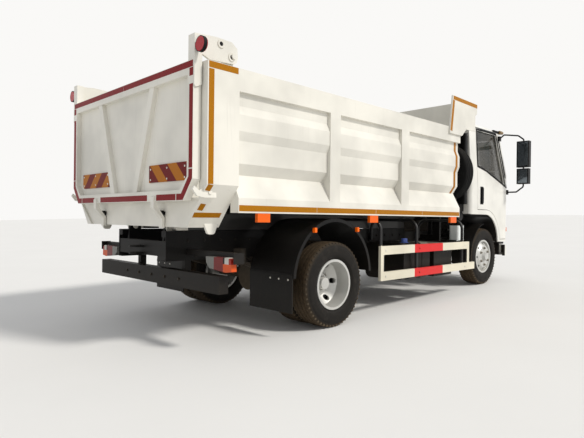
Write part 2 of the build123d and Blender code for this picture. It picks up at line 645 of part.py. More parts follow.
with BuildPart() as seats:
    for middle, half in SEATS:
        with BuildSketch(upright(middle + half)):
            with BuildLine():
                Polyline((SEAT_X + 70, SEAT_FLOOR + SEAT), (SEAT_X + 600, SEAT_FLOOR + SEAT),
                         (SEAT_X + 640, CUSHION_TOP), (SEAT_X + 560, CUSHION_TOP + 30),
                         (SEAT_X + 200, CUSHION_TOP), (SEAT_X, CUSHION_TOP), close=True)
            make_face()
            with BuildLine():
                FilletPolyline((SEAT_X, CUSHION_TOP + SEAT), (SEAT_X + 189, CUSHION_TOP + SEAT),
                               (SEAT_X + 95, BACK_TOP), (SEAT_X + 10, BACK_TOP), radius=20, close=True)
            make_face()
        extrude(amount=2 * half)
save(seats, "seats")

DASH_HALF = CAB_HALF - 130
WHEEL_Y = 480
STEER_X = CAB_FRONT - 425
STEER_Z = 1470
STEER_TILT = 55  # degrees from level that the wheel's axis rises

with BuildPart() as dashboard:
    with BuildSketch(upright(-DASH_HALF)):
        with BuildLine():
            Polyline((CAB_FRONT - 325, 1160), (CAB_FRONT - 345, 1400), (CAB_FRONT - 275, 1490),
                     (CAB_FRONT - 65, 1470), (CAB_FRONT - 5, 1160), close=True)
        make_face()
    extrude(amount=-2 * DASH_HALF)
    add(dash_room, mode=Mode.INTERSECT)
    column = Plane(SPRUNG * Plane((STEER_X, WHEEL_Y, STEER_Z), x_dir=(0, 1, 0),
                                  z_dir=(cos(radians(STEER_TILT)), 0, -sin(radians(STEER_TILT)))).location)
    with BuildSketch(column):
        Circle(22)
    extrude(amount=260)
    with BuildSketch(column.offset(-12)):
        Circle(205)
        Circle(178, mode=Mode.SUBTRACT)
        Rectangle(370, 34)
        Rectangle(34, 370)
    extrude(amount=24)
save(dashboard, "dashboard")

# Mirrors on the front pillars: bent tube, main head, lower head and two foot pads
MIRROR_X = CAB_FRONT - 95
MIRROR_TUBE_R = 11
MIRROR_POST_Y = -1232
# Mirror heads: (middle height, height, inner and outer width)
HEADS = ((2005, 390, 1142, 1320), (1676, 230, 1146, 1316))
FOOT_X = MIRROR_X + 24  # lower foot, ahead of the door's swing
TUBE_ROUTE = ((MIRROR_X - 250, -976, 2230), (MIRROR_X - 170, -1010, 2296), (MIRROR_X, MIRROR_POST_Y + 80, 2290),
              (MIRROR_X, MIRROR_POST_Y, 2225), (MIRROR_X, MIRROR_POST_Y, 1520),
              (FOOT_X, -1120, 1445), (FOOT_X, -960, 1445))

with BuildPart() as mirrors:
    with BuildLine(SPRUNG_PLANE) as route:
        FilletPolyline(*TUBE_ROUTE, radius=30)
    with BuildSketch(Plane(origin=route.line @ 0, z_dir=route.line % 0)):
        Circle(MIRROR_TUBE_R)
    sweep()
    for middle, height, inner, outer in HEADS:
        slab(MIRROR_X - 30, MIRROR_X + 50, -outer, -inner, middle - height / 2, middle + height / 2)
    slab(MIRROR_X - 278, MIRROR_X - 225, -990, -940, 2195, 2265)
    slab(FOOT_X - 15, FOOT_X + 25, -995, -910, 1410, 1480)
    add(seat_form, mode=Mode.SUBTRACT)
    mirror(about=Plane.XZ)
save(mirrors, "mirrors")

# Front panel pieces: grille, headlamps, bumper with the entry steps behind its ends
STEP_REAR = CAB_FRONT - 300
STEP_FRONT = CAB_FRONT - 140
STEP_IN = 690
STEP_OUT = 965
STEP_TREADS = (500, 660)
GRILLE_T = GRILLE_FRONT - CAB_FRONT
GRILLE_SLATS = 5
# Lamp and grille outlines on the front: (y out, z up)
GRILLE = ((560, 1096), (610, 1010), (590, 905), (545, 868))
HEADLAMP = ((625, 1000), (905, 1040), (962, 1020), (962, 905), (800, 850), (660, 862))
nose_form = cab_form(-GRILLE_T)


def nose_piece(outlines):
    """A skin on the cab's nose inside outlines seen from the front."""
    with BuildPart() as piece:
        with BuildSketch(station(CAB_FRONT - 190)) as front:
            for points in outlines:
                with BuildLine():
                    Polyline(*points, close=True)
                make_face()
        extrude(front.sketch, amount=400)
        add(nose_form, mode=Mode.INTERSECT)
        add(seat_form, mode=Mode.SUBTRACT)
    return piece.part


with BuildPart() as grille:
    add(nose_piece([both_ways(GRILLE)]))
    pitch = (GRILLE[0][1] - GRILLE[-1][1]) / (GRILLE_SLATS + 1)
    for i in range(GRILLE_SLATS):
        z = GRILLE[-1][1] + pitch * (i + 0.7)
        slab(CAB_FRONT + 4, CAB_FRONT + 40, -500, 500, z, z + 0.55 * pitch, Mode.SUBTRACT)
save(grille, "grille")

with BuildPart() as headlamps:
    add(nose_piece([[(-y, z) for y, z in HEADLAMP], HEADLAMP]))
save(headlamps, "headlamps")

with BuildPart() as bumper:
    with BuildSketch(level(BUMPER_BOTTOM)) as plan:
        with Locations((BUMPER_FRONT - 90, 0)):
            Rectangle(180, 2 * BUMPER_HALF)
        fillet(plan.vertices().sort_by(Axis.X)[-2:], radius=120)
    extrude(amount=BUMPER_TOP - BUMPER_BOTTOM)
    with BuildSketch(level(BUMPER_BOTTOM)) as hollow:
        with Locations((BUMPER_FRONT - 150, 0)):
            Rectangle(220, 2 * BUMPER_HALF - 60)
        fillet(hollow.vertices().sort_by(Axis.X)[-2:], radius=90)
    extrude(amount=BUMPER_TOP - BUMPER_BOTTOM, mode=Mode.SUBTRACT)
    for side in (-1, 1):
        slab(FRAME_FRONT - 300, BUMPER_FRONT - 35, side * (web + SEAT), side * (web + 16), 520, 645)
        for z in STEP_TREADS:
            slab(STEP_REAR, STEP_FRONT, side * STEP_IN, side * STEP_OUT, z, z + 30)
        slab(STEP_REAR, STEP_REAR + 12, side * STEP_IN, side * STEP_OUT, STEP_TREADS[0], STEP_TREADS[1] + 30)
        slab(STEP_REAR, STEP_FRONT, side * STEP_IN, side * (STEP_IN + 12), STEP_TREADS[0], STEP_TREADS[1] + 30)
        slab(STEP_FRONT - 14, BUMPER_FRONT - 140, side * (STEP_OUT - 30), side * (STEP_OUT - 4),
             STEP_TREADS[0], BUMPER_TOP - 6)
        slab(STEP_REAR + 60, STEP_FRONT - 20, side * (web + 10), side * STEP_IN, 560, 590)
save(bumper, "bumper")

# Engine and gearbox, one closed block each, joined, with the engine's mounting feet
ENGINE_REAR = WHEELBASE - 480
ENGINE_FRONT = WHEELBASE + 120
ENGINE_TOP = 1000
GEARBOX_REAR = ENGINE_REAR - 680
with BuildPart() as engine:
    slab(ENGINE_REAR, ENGINE_FRONT, -300, 300, 640, ENGINE_TOP)
    slab(GEARBOX_REAR, ENGINE_REAR, -190, 190, 560, 860)
    for side in (-1, 1):
        for x in (ENGINE_REAR + 80, ENGINE_FRONT - 160):
            slab(x, x + 80, side * 300, side * (web - RAIL_T - SEAT), 700, 760)
save(engine, "engine")

# Leaf springs under the rails in front and beside them behind, with their hangers
AXLE_BEAM_TOP = 440  # above the ground
# Springs: (axle station, reach to an eye, middle width, seat height, eye height, pack)
SPRINGS = ((WHEELBASE - 12, 560, 390, 537.4, 600, 46), (-11, 640, 505, 455.5, 600, 84))
SPRING_W = 70
EYE_R = 26

with BuildPart() as leaf_springs:
    for x, reach, y, seat_z, eye_z, pack in SPRINGS:
        for side in (-1, 1):
            with BuildSketch(upright(side * y + SPRING_W / 2)):
                with BuildLine():
                    ThreePointArc((x - reach, eye_z - 8), (x, seat_z), (x + reach, eye_z - 8))
                    Line((x + reach, eye_z - 8), (x + reach, eye_z + 8))
                    ThreePointArc((x + reach, eye_z + 8), (x, seat_z + pack), (x - reach, eye_z + 8))
                    Line((x - reach, eye_z + 8), (x - reach, eye_z - 8))
                make_face()
                with Locations((x - reach, eye_z), (x + reach, eye_z)):
                    Circle(EYE_R)
            extrude(amount=SPRING_W)
            for end in (-reach, reach):
                if y < web:
                    slab(x + end - 30, x + end + 30, side * (y - 30), side * (y + 30),
                         eye_z + 10, RAIL_BOTTOM - SEAT)
                else:
                    slab(x + end - 30, x + end + 30, side * (web + SEAT), side * (y + 30),
                         eye_z + 10, eye_z + 130)
save(leaf_springs, "leaf_springs")

# Axles: front beam with kingpin bosses; rear tube with differential, spindles and propeller shaft
BOSS_R = 38
BOSS_HALF_H = 45
SHAFT_REAR = 140
SHAFT_REAR_Z = 406
run = GEARBOX_REAR - SEAT - SHAFT_REAR
rise = 640 - SHAFT_REAR_Z
shaft_plane = Plane(SPRUNG * Plane((SHAFT_REAR, 0, SHAFT_REAR_Z), x_dir=(0, 1, 0), z_dir=(run, 0, rise)).location)
with BuildPart() as axles:
    slab(WHEELBASE - 36, WHEELBASE + 36, -KINGPIN_Y + 20, KINGPIN_Y - 20, 366, AXLE_BEAM_TOP, stance=GROUND)
    for side in (-1, 1):
        with BuildSketch(level(TYRE_R - BOSS_HALF_H, GROUND)):
            with Locations((WHEELBASE, side * KINGPIN_Y)):
                Circle(BOSS_R)
        extrude(amount=2 * BOSS_HALF_H)
        with BuildSketch(level(TYRE_R - BOSS_HALF_H - 5, GROUND)):
            with Locations((WHEELBASE, side * KINGPIN_Y)):
                Circle(KINGPIN_R + RUN_FIT)
        extrude(amount=2 * BOSS_HALF_H + 10, mode=Mode.SUBTRACT)
    bar(0, TYRE_R, AXLE_TUBE_R, -640, 640, stance=GROUND)
    bar(0, TYRE_R, SPINDLE_R, -REAR_WHEEL_Y + 80, REAR_WHEEL_Y - 80, stance=GROUND)
    with BuildSketch(station(-150, GROUND)):
        with Locations((0, TYRE_R)):
            Circle(150)
    extrude(amount=300)
    with BuildSketch(shaft_plane):
        Circle(40)
    extrude(amount=sqrt(run**2 + rise**2) - 6)
save(axles, "axles")

# Steering knuckles: two lugs on a kingpin, a flange and the wheel spindle
LUG_GAP = 5
LUG_H = 34
FLANGE_Y = KINGPIN_Y + BOSS_R + 6
HUB_SHUT = 90  # depth of the hub's bore, from the tyre's middle plane
BALL_X = WHEELBASE - 120  # pin of the tie rod on the steering arm
BALL_PIN_R = 9
ARM_END_R = 22
ARM_END_T = 22
TIE_ROD_H = 30
low = TYRE_R - BOSS_HALF_H - LUG_GAP - LUG_H
high = TYRE_R + BOSS_HALF_H + LUG_GAP

with BuildPart() as steering_knuckle_right:
    with BuildSketch(level(low, GROUND)):
        with Locations((WHEELBASE, -KINGPIN_Y)):
            Circle(KINGPIN_R)
    extrude(amount=high + LUG_H - low)
    for z in (low, high):
        with BuildSketch(level(z, GROUND)):
            with Locations((WHEELBASE, -KINGPIN_Y)):
                Circle(BOSS_R)
            with Locations((WHEELBASE, -(KINGPIN_Y + FLANGE_Y) / 2)):
                Rectangle(2 * BOSS_R, FLANGE_Y - KINGPIN_Y)
        extrude(amount=LUG_H)
    slab(WHEELBASE - BOSS_R, WHEELBASE + BOSS_R, -FLANGE_Y - 12, -FLANGE_Y, low, high + LUG_H, stance=GROUND)
    bar(WHEELBASE, TYRE_R, SPINDLE_R, FLANGE_Y, FRONT_WHEEL_Y + HUB_SHUT - 6, stance=GROUND)
    with BuildSketch(level(low, GROUND)):
        with Locations((BALL_X, -KINGPIN_Y)):
            Circle(ARM_END_R)
        with Locations(((BALL_X + WHEELBASE) / 2, -KINGPIN_Y)):
            Rectangle(WHEELBASE - BALL_X, 2 * ARM_END_R)
    extrude(amount=ARM_END_T)
    with BuildSketch(level(low - TIE_ROD_H - 4, GROUND)):
        with Locations((BALL_X, -KINGPIN_Y)):
            Circle(BALL_PIN_R)
    extrude(amount=TIE_ROD_H + 4 + ARM_END_T)
save(steering_knuckle_right, "steering_knuckle_right")
with BuildPart() as steering_knuckle_left:
    mirror(steering_knuckle_right.part, about=Plane.XZ)
save(steering_knuckle_left, "steering_knuckle_left")

# Tie rod between the two steering arms, with an eye on each arm's pin
with BuildPart() as tie_rod:
    rod_z = low - TIE_ROD_H - 1
    for side in (-1, 1):
        with BuildSketch(level(rod_z, GROUND)):
            with Locations((BALL_X, side * KINGPIN_Y)):
                Circle(ARM_END_R)
        extrude(amount=TIE_ROD_H)
    bar(BALL_X, rod_z + TIE_ROD_H / 2, TIE_ROD_H / 2 - 1, -KINGPIN_Y + 4, KINGPIN_Y - 4, stance=GROUND)
    for side in (-1, 1):
        with BuildSketch(level(rod_z - 1, GROUND)):
            with Locations((BALL_X, side * KINGPIN_Y)):
                Circle(BALL_PIN_R + RUN_FIT)
        extrude(amount=TIE_ROD_H + 2, mode=Mode.SUBTRACT)
save(tie_rod, "tie_rod")

# Tyres and rims, turned about the axle
# Half section of a tyre from the bead out to the crown: (from the middle plane, radius)
TYRE_HALF = ((RIM_W / 2 - FLANGE_T - SEAT, BEAD_R), (RIM_W / 2 - FLANGE_T - SEAT, RIM_R + 6),
             (RIM_W / 2 + 4, RIM_R + 10), (TYRE_W / 2, 310), (TYRE_W / 2 - 8, 366), (TYRE_W / 2 - 30, TYRE_R))
BARREL_R = BEAD_R - SEAT
BARREL_IN = BARREL_R - 10
RIM_END = RIM_W / 2
# Front rim from the outer flange round: (from the middle plane, radius)
FRONT_RIM = ((RIM_END, RIM_R), (RIM_END - FLANGE_T, RIM_R), (RIM_END - FLANGE_T, BARREL_R),
             (-RIM_END + FLANGE_T, BARREL_R), (-RIM_END + FLANGE_T, RIM_R), (-RIM_END, RIM_R),
             (-RIM_END, BARREL_IN), (FRONT_FACE_OFFSET - 62, BARREL_IN),
             (FRONT_FACE_OFFSET - DISC_T, 150), (FRONT_FACE_OFFSET - DISC_T, 95), (-2, 95),
             (-2, SPINDLE_R + RUN_FIT), (HUB_SHUT, SPINDLE_R + RUN_FIT), (HUB_SHUT, 0), (150, 0),
             (150, 48), (FRONT_FACE_OFFSET, 62), (FRONT_FACE_OFFSET, 152),
             (FRONT_FACE_OFFSET - 48, BARREL_IN), (RIM_END, BARREL_IN))
# Outer half of the twin rims, from the face between them: (distance out, radius)
TWIN_IN = DUAL_OFFSET - RIM_END
REAR_HOLES = 6
FRONT_HOLES = 8
TWIN_OUT = DUAL_OFFSET + RIM_END
TWIN_BARREL = ((TWIN_OUT, BARREL_IN), (TWIN_OUT, RIM_R), (TWIN_OUT - FLANGE_T, RIM_R),
               (TWIN_OUT - FLANGE_T, BARREL_R), (TWIN_IN + FLANGE_T, BARREL_R),
               (TWIN_IN + FLANGE_T, RIM_R), (TWIN_IN, RIM_R), (TWIN_IN, BARREL_IN), (63, BARREL_IN))


def turned(x, y, section):
    """A ring turned about a right-hand axle line from a closed section."""
    with BuildSketch(wheel_plane(x, y)) as outline:
        with BuildLine():
            Polyline(*section, close=True)
        make_face()
    revolve(outline.sketch, axis=Axis((x - MIDDLE, 0, TYRE_R), (0, 1, 0)))


def tyre_section():
    return [(-a, r) for a, r in TYRE_HALF] + [(a, r) for a, r in reversed(TYRE_HALF)]


def pierce(x, y, r, count, hole_r, out, into):
    """A ring of holes along a right-hand wheel's axle, from a distance out to a distance in."""
    with BuildSketch(upright(-y - out, GROUND)) as holes:
        with Locations((x, TYRE_R)):
            with PolarLocations(r, count):
                Circle(hole_r)
    extrude(holes.sketch, amount=into - out, mode=Mode.SUBTRACT)


with BuildPart() as front_tyre_right:
    turned(WHEELBASE, FRONT_WHEEL_Y, tyre_section())
with BuildPart() as front_rim_right:
    turned(WHEELBASE, FRONT_WHEEL_Y, FRONT_RIM)
    pierce(WHEELBASE, FRONT_WHEEL_Y, 180, FRONT_HOLES, 15, 40, 130)
with BuildPart() as rear_tyres_right:
    turned(0, REAR_WHEEL_Y, tyre_section())
    turned(0, REAR_WHEEL_Y - 2 * DUAL_OFFSET, tyre_section())
with BuildPart() as rear_rims_right:
    section = list(TWIN_BARREL) + [(0, 150)] + [(-a, r) for a, r in reversed(TWIN_BARREL)]
    section += [(-80, BARREL_IN), (-DISC_T, 142), (-DISC_T, 130), (-190, 130), (-190, SPINDLE_R + RUN_FIT),
                (60, SPINDLE_R + RUN_FIT), (60, 0), (118, 0), (118, 55), (60, 62), (60, 90),
                (DISC_T, 95), (DISC_T, 142), (80, BARREL_IN)]
    turned(0, REAR_WHEEL_Y - DUAL_OFFSET, section)
    pierce(0, REAR_WHEEL_Y - DUAL_OFFSET, 178, REAR_HOLES, 27, -100, 100)
save(front_tyre_right, "front_tyre_right")
save(front_rim_right, "front_rim_right")
save(rear_tyres_right, "rear_tyres_right")
save(rear_rims_right, "rear_rims_right")
with BuildPart() as front_tyre_left:
    mirror(front_tyre_right.part, about=Plane.XZ)
with BuildPart() as front_rim_left:
    mirror(front_rim_right.part, about=Plane.XZ)
with BuildPart() as rear_tyres_left:
    mirror(rear_tyres_right.part, about=Plane.XZ)
with BuildPart() as rear_rims_left:
    mirror(rear_rims_right.part, about=Plane.XZ)
save(front_tyre_left, "front_tyre_left")
save(front_rim_left, "front_rim_left")
save(rear_tyres_left, "rear_tyres_left")
save(rear_rims_left, "rear_rims_left")

# Spare wheel, upright behind the cab on a carrier that stands on the right-hand rail
SPARE_X = CAB_REAR - 230
SPARE_Y = 700
SPARE_Z = 1650
spare_plane = Plane(SPRUNG * Plane((SPARE_X, -SPARE_Y, SPARE_Z), x_dir=(1, 0, 0), z_dir=(0, -1, 0)).location)
spare_axis = Axis(spare_plane.origin, spare_plane.x_dir)
with BuildPart() as spare_wheel:
    with BuildSketch(spare_plane):
        with BuildLine():
            Polyline(*tyre_section(), close=True)
        make_face()
    revolve(axis=spare_axis)
    with BuildSketch(spare_plane):
        with BuildLine():
            Polyline((RIM_END, RIM_R), (RIM_END - FLANGE_T, RIM_R), (RIM_END - FLANGE_T, BARREL_R),
                     (-RIM_END + FLANGE_T, BARREL_R), (-RIM_END + FLANGE_T, RIM_R), (-RIM_END, RIM_R),
                     (-RIM_END, BARREL_IN), (-62, BARREL_IN), (-112, 150), (-112, 0), (-100, 0),
                     (-100, 150), (-50, BARREL_IN), (RIM_END, BARREL_IN), close=True)
        make_face()
    revolve(axis=spare_axis)
save(spare_wheel, "spare_wheel")

CARRIER_X = SPARE_X - TYRE_W / 2 - 8  # front face of the carrier's column
with BuildPart() as spare_carrier:
    slab(CARRIER_X - 40, CARRIER_X, -SPARE_Y - 50, -SPARE_Y + 50, RAIL_TOP - 120, SPARE_Z + 90)
    slab(CARRIER_X - 40, CARRIER_X, -SPARE_Y + 50, -FRAME_HALF - SEAT, RAIL_TOP - 120, RAIL_TOP - 40)
    with BuildSketch(station(CARRIER_X)):
        with Locations((-SPARE_Y, SPARE_Z)):
            Circle(70)
    extrude(amount=SPARE_X - 112 - SEAT - CARRIER_X)
save(spare_carrier, "spare_carrier")

# Side guards: two rails and two uprights a side, hung from the frame by bent tubes
GUARD_Y = 1130
GUARD_REAR_X = 672
GUARD_FRONT_X = WHEELBASE - 841
GUARD_LOW_FRONT = GUARD_FRONT_X + 154
GUARD_T = 30
GUARD_RAIL_H = 90
GUARD_LOW = 378
GUARD_HIGH = 736
GUARD_TUBES = (GUARD_REAR_X + 54, 1422, GUARD_FRONT_X - 111)  # stations of the bent tubes
TUBE_R = 18
TUBE_TOP = 1006
TUBE_BEND = 110
tube_out = GUARD_Y - GUARD_T - TUBE_R + 2
tube_in = FRAME_HALF + 12 + TUBE_R - 2

with BuildPart() as side_guards:
    inner = -GUARD_Y + GUARD_T
    slab(GUARD_REAR_X, GUARD_LOW_FRONT, -GUARD_Y, inner, GUARD_LOW, GUARD_LOW + GUARD_RAIL_H)
    slab(GUARD_REAR_X, GUARD_FRONT_X, -GUARD_Y, inner, GUARD_HIGH - GUARD_RAIL_H, GUARD_HIGH)
    for x in (GUARD_REAR_X, GUARD_FRONT_X - 60):
        slab(x, x + 60, -GUARD_Y, inner, GUARD_LOW, GUARD_HIGH)
    for x in GUARD_TUBES:
        with BuildLine(station(x)) as bend:
            FilletPolyline((-tube_out, GUARD_LOW + 8), (-tube_out, TUBE_TOP), (-tube_in, TUBE_TOP),
                           (-tube_in, RAIL_TOP - 90), radius=TUBE_BEND)
        with BuildSketch(level(GUARD_LOW + 8)):
            with Locations((x, -tube_out)):
                Circle(TUBE_R)
        sweep(path=bend.line)
        slab(x - 22, x + 22, -FRAME_HALF - 12, -FRAME_HALF - SEAT, RAIL_TOP - 100, RAIL_TOP - 10)
    mirror(about=Plane.XZ)
save(side_guards, "side_guards")

# Tanks and boxes beside the frame. Low boxes: (rear, front, inner y, outer y, bottom, top), left positive
FUEL_TANK = (1250, 2150, 480, 1020, 330, 700)
FLUID_TANK = (1250, 1810, -500, -1030, 330, 745)
BATTERY_BOX = (1905, 2340, -500, -1030, 330, 722)
RESERVOIR = (CAB_REAR - 160, CAB_REAR + 10, -760, -905, 742, 955)

with BuildPart() as tanks_and_battery_box:
    for rear, front, inner, outer, bottom, top in (FUEL_TANK, FLUID_TANK):
        with BuildSketch(station(rear)) as end:
            with Locations(((inner + outer) / 2, (bottom + top) / 2)):
                RectangleRounded(abs(outer - inner), top - bottom, 70)
        extrude(amount=front - rear)
        for x in (rear + 130, front - 180):
            with BuildSketch(station(x)):
                with Locations(((inner + outer) / 2, (bottom + top) / 2)):
                    RectangleRounded(abs(outer - inner) + 8, top - bottom + 8, 74)
            extrude(amount=50)
            side = 1 if inner > 0 else -1
            slab(x, x + 50, side * (FRAME_HALF + SEAT), inner + side * 40, 650, 690)
    rear, front, inner, outer, bottom, top = BATTERY_BOX
    slab(rear, front, inner, outer, bottom, top - 60)
    slab(rear - 8, front + 8, inner, outer - 8, top - 60, top)
    slab(rear + 60, front - 60, -FRAME_HALF - SEAT, inner, 650, 690)
    for x, y, top, length, r in ((FLUID_TANK[0] + 144, -940, FLUID_TANK[5], 50, 34), (1400, 900, FUEL_TANK[5], 36, 46)):
        with BuildSketch(level(top - 4)):
            with Locations((x, y)):
                Circle(r)
        extrude(amount=length + 4)
    rear, front, inner, outer, bottom, top = RESERVOIR
    with BuildSketch(level(bottom)):
        with Locations(((rear + front) / 2, (inner + outer) / 2)):
            RectangleRounded(front - rear, abs(outer - inner), 34)
    extrude(amount=top - bottom)
    with BuildSketch(level(top)):
        with Locations(((rear + front) / 2 + 30, (inner + outer) / 2)):
            Circle(28)
    extrude(amount=30)
    slab(rear - 20, front + 20, -FRAME_HALF - SEAT, outer + 20, bottom - 16, bottom)
save(tanks_and_battery_box, "tanks_and_battery_box")

# Fenders: a bent sheet with an edge lip over each pair of rear tyres and a flap behind it,
# and a quarter sheet behind each front tyre
FENDER_X = -45
FENDER_Z = 470
FENDER_R = 540
FENDER_T = 5
FENDER_OUT = 1130
FENDER_IN = 560
FENDER_LIP = 26
FRONT_FENDER_R = 470
FRONT_FENDER_OUT = 985
FRONT_FENDER_IN = 700
FENDER_ARM_Z = 822
FENDER_LOW = 500
FLAP_X = FENDER_X - FENDER_R
FLAP_BOTTOM = 200

with BuildPart() as fenders:
    with BuildSketch(upright(-FENDER_IN)):
        with BuildLine():
            low = FENDER_LOW - FENDER_Z
            for r in (FENDER_R, FENDER_R + FENDER_T):
                reach = sqrt(r**2 - low**2)
                ThreePointArc((FENDER_X - reach, FENDER_LOW), (FENDER_X, FENDER_Z + r),
                              (FENDER_X + reach, FENDER_LOW))
            for side in (-1, 1):
                Line((FENDER_X + side * sqrt(FENDER_R**2 - low**2), FENDER_LOW),
                     (FENDER_X + side * sqrt((FENDER_R + FENDER_T)**2 - low**2), FENDER_LOW))
        make_face()
    extrude(amount=FENDER_OUT - FENDER_IN)
    with BuildSketch(upright(-FENDER_OUT)):
        with BuildLine():
            for r in (FENDER_R - FENDER_LIP, FENDER_R + FENDER_T):
                reach = sqrt(r**2 - low**2)
                ThreePointArc((FENDER_X - reach, FENDER_LOW), (FENDER_X, FENDER_Z + r),
                              (FENDER_X + reach, FENDER_LOW))
            for side in (-1, 1):
                Line((FENDER_X + side * sqrt((FENDER_R - FENDER_LIP)**2 - low**2), FENDER_LOW),
                     (FENDER_X + side * sqrt((FENDER_R + FENDER_T)**2 - low**2), FENDER_LOW))
        make_face()
    extrude(amount=-8)
    slab(FENDER_X - 20, FENDER_X + 20, -FENDER_IN, -FRAME_HALF - SEAT, FENDER_ARM_Z, RAIL_TOP - 4)
    slab(FENDER_X - 20, FENDER_X + 20, -FENDER_IN - 30, -FENDER_IN + 6, FENDER_ARM_Z, FENDER_Z + FENDER_R + 2)
    slab(FLAP_X - 7, FLAP_X + 3, -FENDER_OUT + 12, -FENDER_IN, FLAP_BOTTOM, FENDER_LOW + 40)
    with BuildSketch(upright(-FRONT_FENDER_IN, GROUND)):
        with BuildLine():
            CenterArc((WHEELBASE, TYRE_R), FRONT_FENDER_R, 98, 92)
            CenterArc((WHEELBASE, TYRE_R), FRONT_FENDER_R + FENDER_T, 98, 92)
            for angle in (98, 190):
                Line((WHEELBASE + FRONT_FENDER_R * cos(radians(angle)), TYRE_R + FRONT_FENDER_R * sin(radians(angle))),
                     (WHEELBASE + (FRONT_FENDER_R + FENDER_T) * cos(radians(angle)),
                      TYRE_R + (FRONT_FENDER_R + FENDER_T) * sin(radians(angle))))
        make_face()
    extrude(amount=FRONT_FENDER_OUT - FRONT_FENDER_IN)
    slab(WHEELBASE - 400, WHEELBASE - 360, -FRONT_FENDER_IN - 30, -FRAME_HALF - SEAT, 770, 800)
    mirror(about=Plane.XZ)
save(fenders, "fenders")

# Underride beam, lamp bars with tail lamps, and the amber side lamps
LAMP_BAR_X = -1190
with BuildPart() as underride_beam:
    slab(BEAM_REAR, BEAM_REAR + 90, -BEAM_HALF, BEAM_HALF, BEAM_BOTTOM, BEAM_TOP)
    for side in (-1, 1):
        slab(BEAM_REAR + 90, BEAM_REAR + 150, side * (toe + 10), side * (web - 10), BEAM_BOTTOM, RAIL_BOTTOM - SEAT)
save(underride_beam, "underride_beam")

# Rear lamp outline: (y out, z up)
TAIL_LAMP = ((780, 700), (1070, 706), (1110, 690), (1118, 600), (1040, 590), (830, 610), (790, 650))
FENDER_LAMPS = (FENDER_X - 300, FENDER_X + 300)  # stations of the small lamps on the fender's outer edge
MARKERS = ((-1010, -877), (457, 592), (BODY_FRONT - 216, BODY_FRONT - 71))  # rear and front end of each marker under the sill

with BuildPart() as chassis_lamps:
    for side in (-1, 1):
        cross_plate([(side * y, z) for y, z in TAIL_LAMP], LAMP_BAR_X - 52, 52)
        slab(LAMP_BAR_X, LAMP_BAR_X + 45, side * (FRAME_HALF + SEAT), side * 1150, 690, 740)
        slab(LAMP_BAR_X - 52, LAMP_BAR_X + 45, side * 1140, side * 1150, 660, 745)
        for x in FENDER_LAMPS:
            z = FENDER_Z + sqrt(FENDER_R**2 - (x - FENDER_X)**2) - 8
            with BuildSketch(station(x - 14)):
                with Locations((side * (FENDER_OUT + SEAT + 15), z)):
                    RectangleRounded(30, 44, 8)
            extrude(amount=28)
save(chassis_lamps, "chassis_lamps")

with BuildPart() as side_markers:
    for side in (-1, 1):
        for rear, front in MARKERS:
            slab(rear, front, side * (BODY_HALF - 34), side * (BODY_HALF - 4), SILL_BOTTOM - 72, SILL_BOTTOM - SEAT)
save(side_markers, "side_markers")

# Hoist cylinder under the floor: barrel pinned to the frame, rod pinned to the floor
BARREL_OUT_R = 62
ROD_R = 36
run = HOIST_EYE_X - HOIST_X
rise = HOIST_EYE_Z - HOIST_Z
HOIST_L = sqrt(run**2 + rise**2)
hoist_plane = Plane(SPRUNG * Plane((HOIST_X, 0, HOIST_Z), x_dir=(0, 1, 0), z_dir=(run, 0, rise)).location)
with BuildPart() as hoist_barrel:
    with BuildSketch(hoist_plane.offset(40)):
        Circle(BARREL_OUT_R)
        Circle(ROD_R + RUN_FIT, mode=Mode.SUBTRACT)
    extrude(amount=HOIST_L - 160)
    with BuildSketch(hoist_plane.offset(40)):
        Circle(BARREL_OUT_R)
    extrude(amount=30)
    bar(HOIST_X, HOIST_Z, 50, -60, 60)
    bar(HOIST_X, HOIST_Z, HOIST_PIN_R + RUN_FIT, -61, 61, Mode.SUBTRACT)
save(hoist_barrel, "hoist_barrel")
with BuildPart() as hoist_rod:
    with BuildSketch(hoist_plane.offset(90)):
        Circle(ROD_R)
    extrude(amount=HOIST_L - 90 - 40)
    bar(HOIST_EYE_X, HOIST_EYE_Z, 45, -50, 50)
save(hoist_rod, "hoist_rod")

# Air intake behind the cab: tall duct, elbow and filter drum on a bracket
INTAKE_X = CAB_REAR - 100  # middle of the filter drum
INTAKE_Z = 1075
DRUM_R = 95
DUCT_TOP = 2190
with BuildPart() as air_intake:
    with BuildSketch(level(1230)):
        with Locations((CAB_REAR - 52, -868)):
            RectangleRounded(76, 175, 22)
    extrude(amount=DUCT_TOP - 1230)
    slab(INTAKE_X - 30, CAB_REAR - 15, -900, -800, INTAKE_Z + 55, 1232)
    with BuildSketch(upright(-440)):
        with Locations((INTAKE_X, INTAKE_Z)):
            Circle(DRUM_R)
    extrude(amount=330)
    with BuildSketch(upright(-770)):
        with Locations((INTAKE_X, INTAKE_Z)):
            Circle(70)
    extrude(amount=130)
    slab(INTAKE_X - 20, INTAKE_X + 20, -FRAME_HALF - 40, -FRAME_HALF - SEAT, RAIL_TOP - 60, INTAKE_Z - 65)
save(air_intake, "air_intake")
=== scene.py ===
import math
from functools import cache, cached_property

import bmesh
import bpy
from bpy.props import FloatProperty, IntProperty, PointerProperty
from mathutils import Matrix, Vector
from mathutils.bvhtree import BVHTree


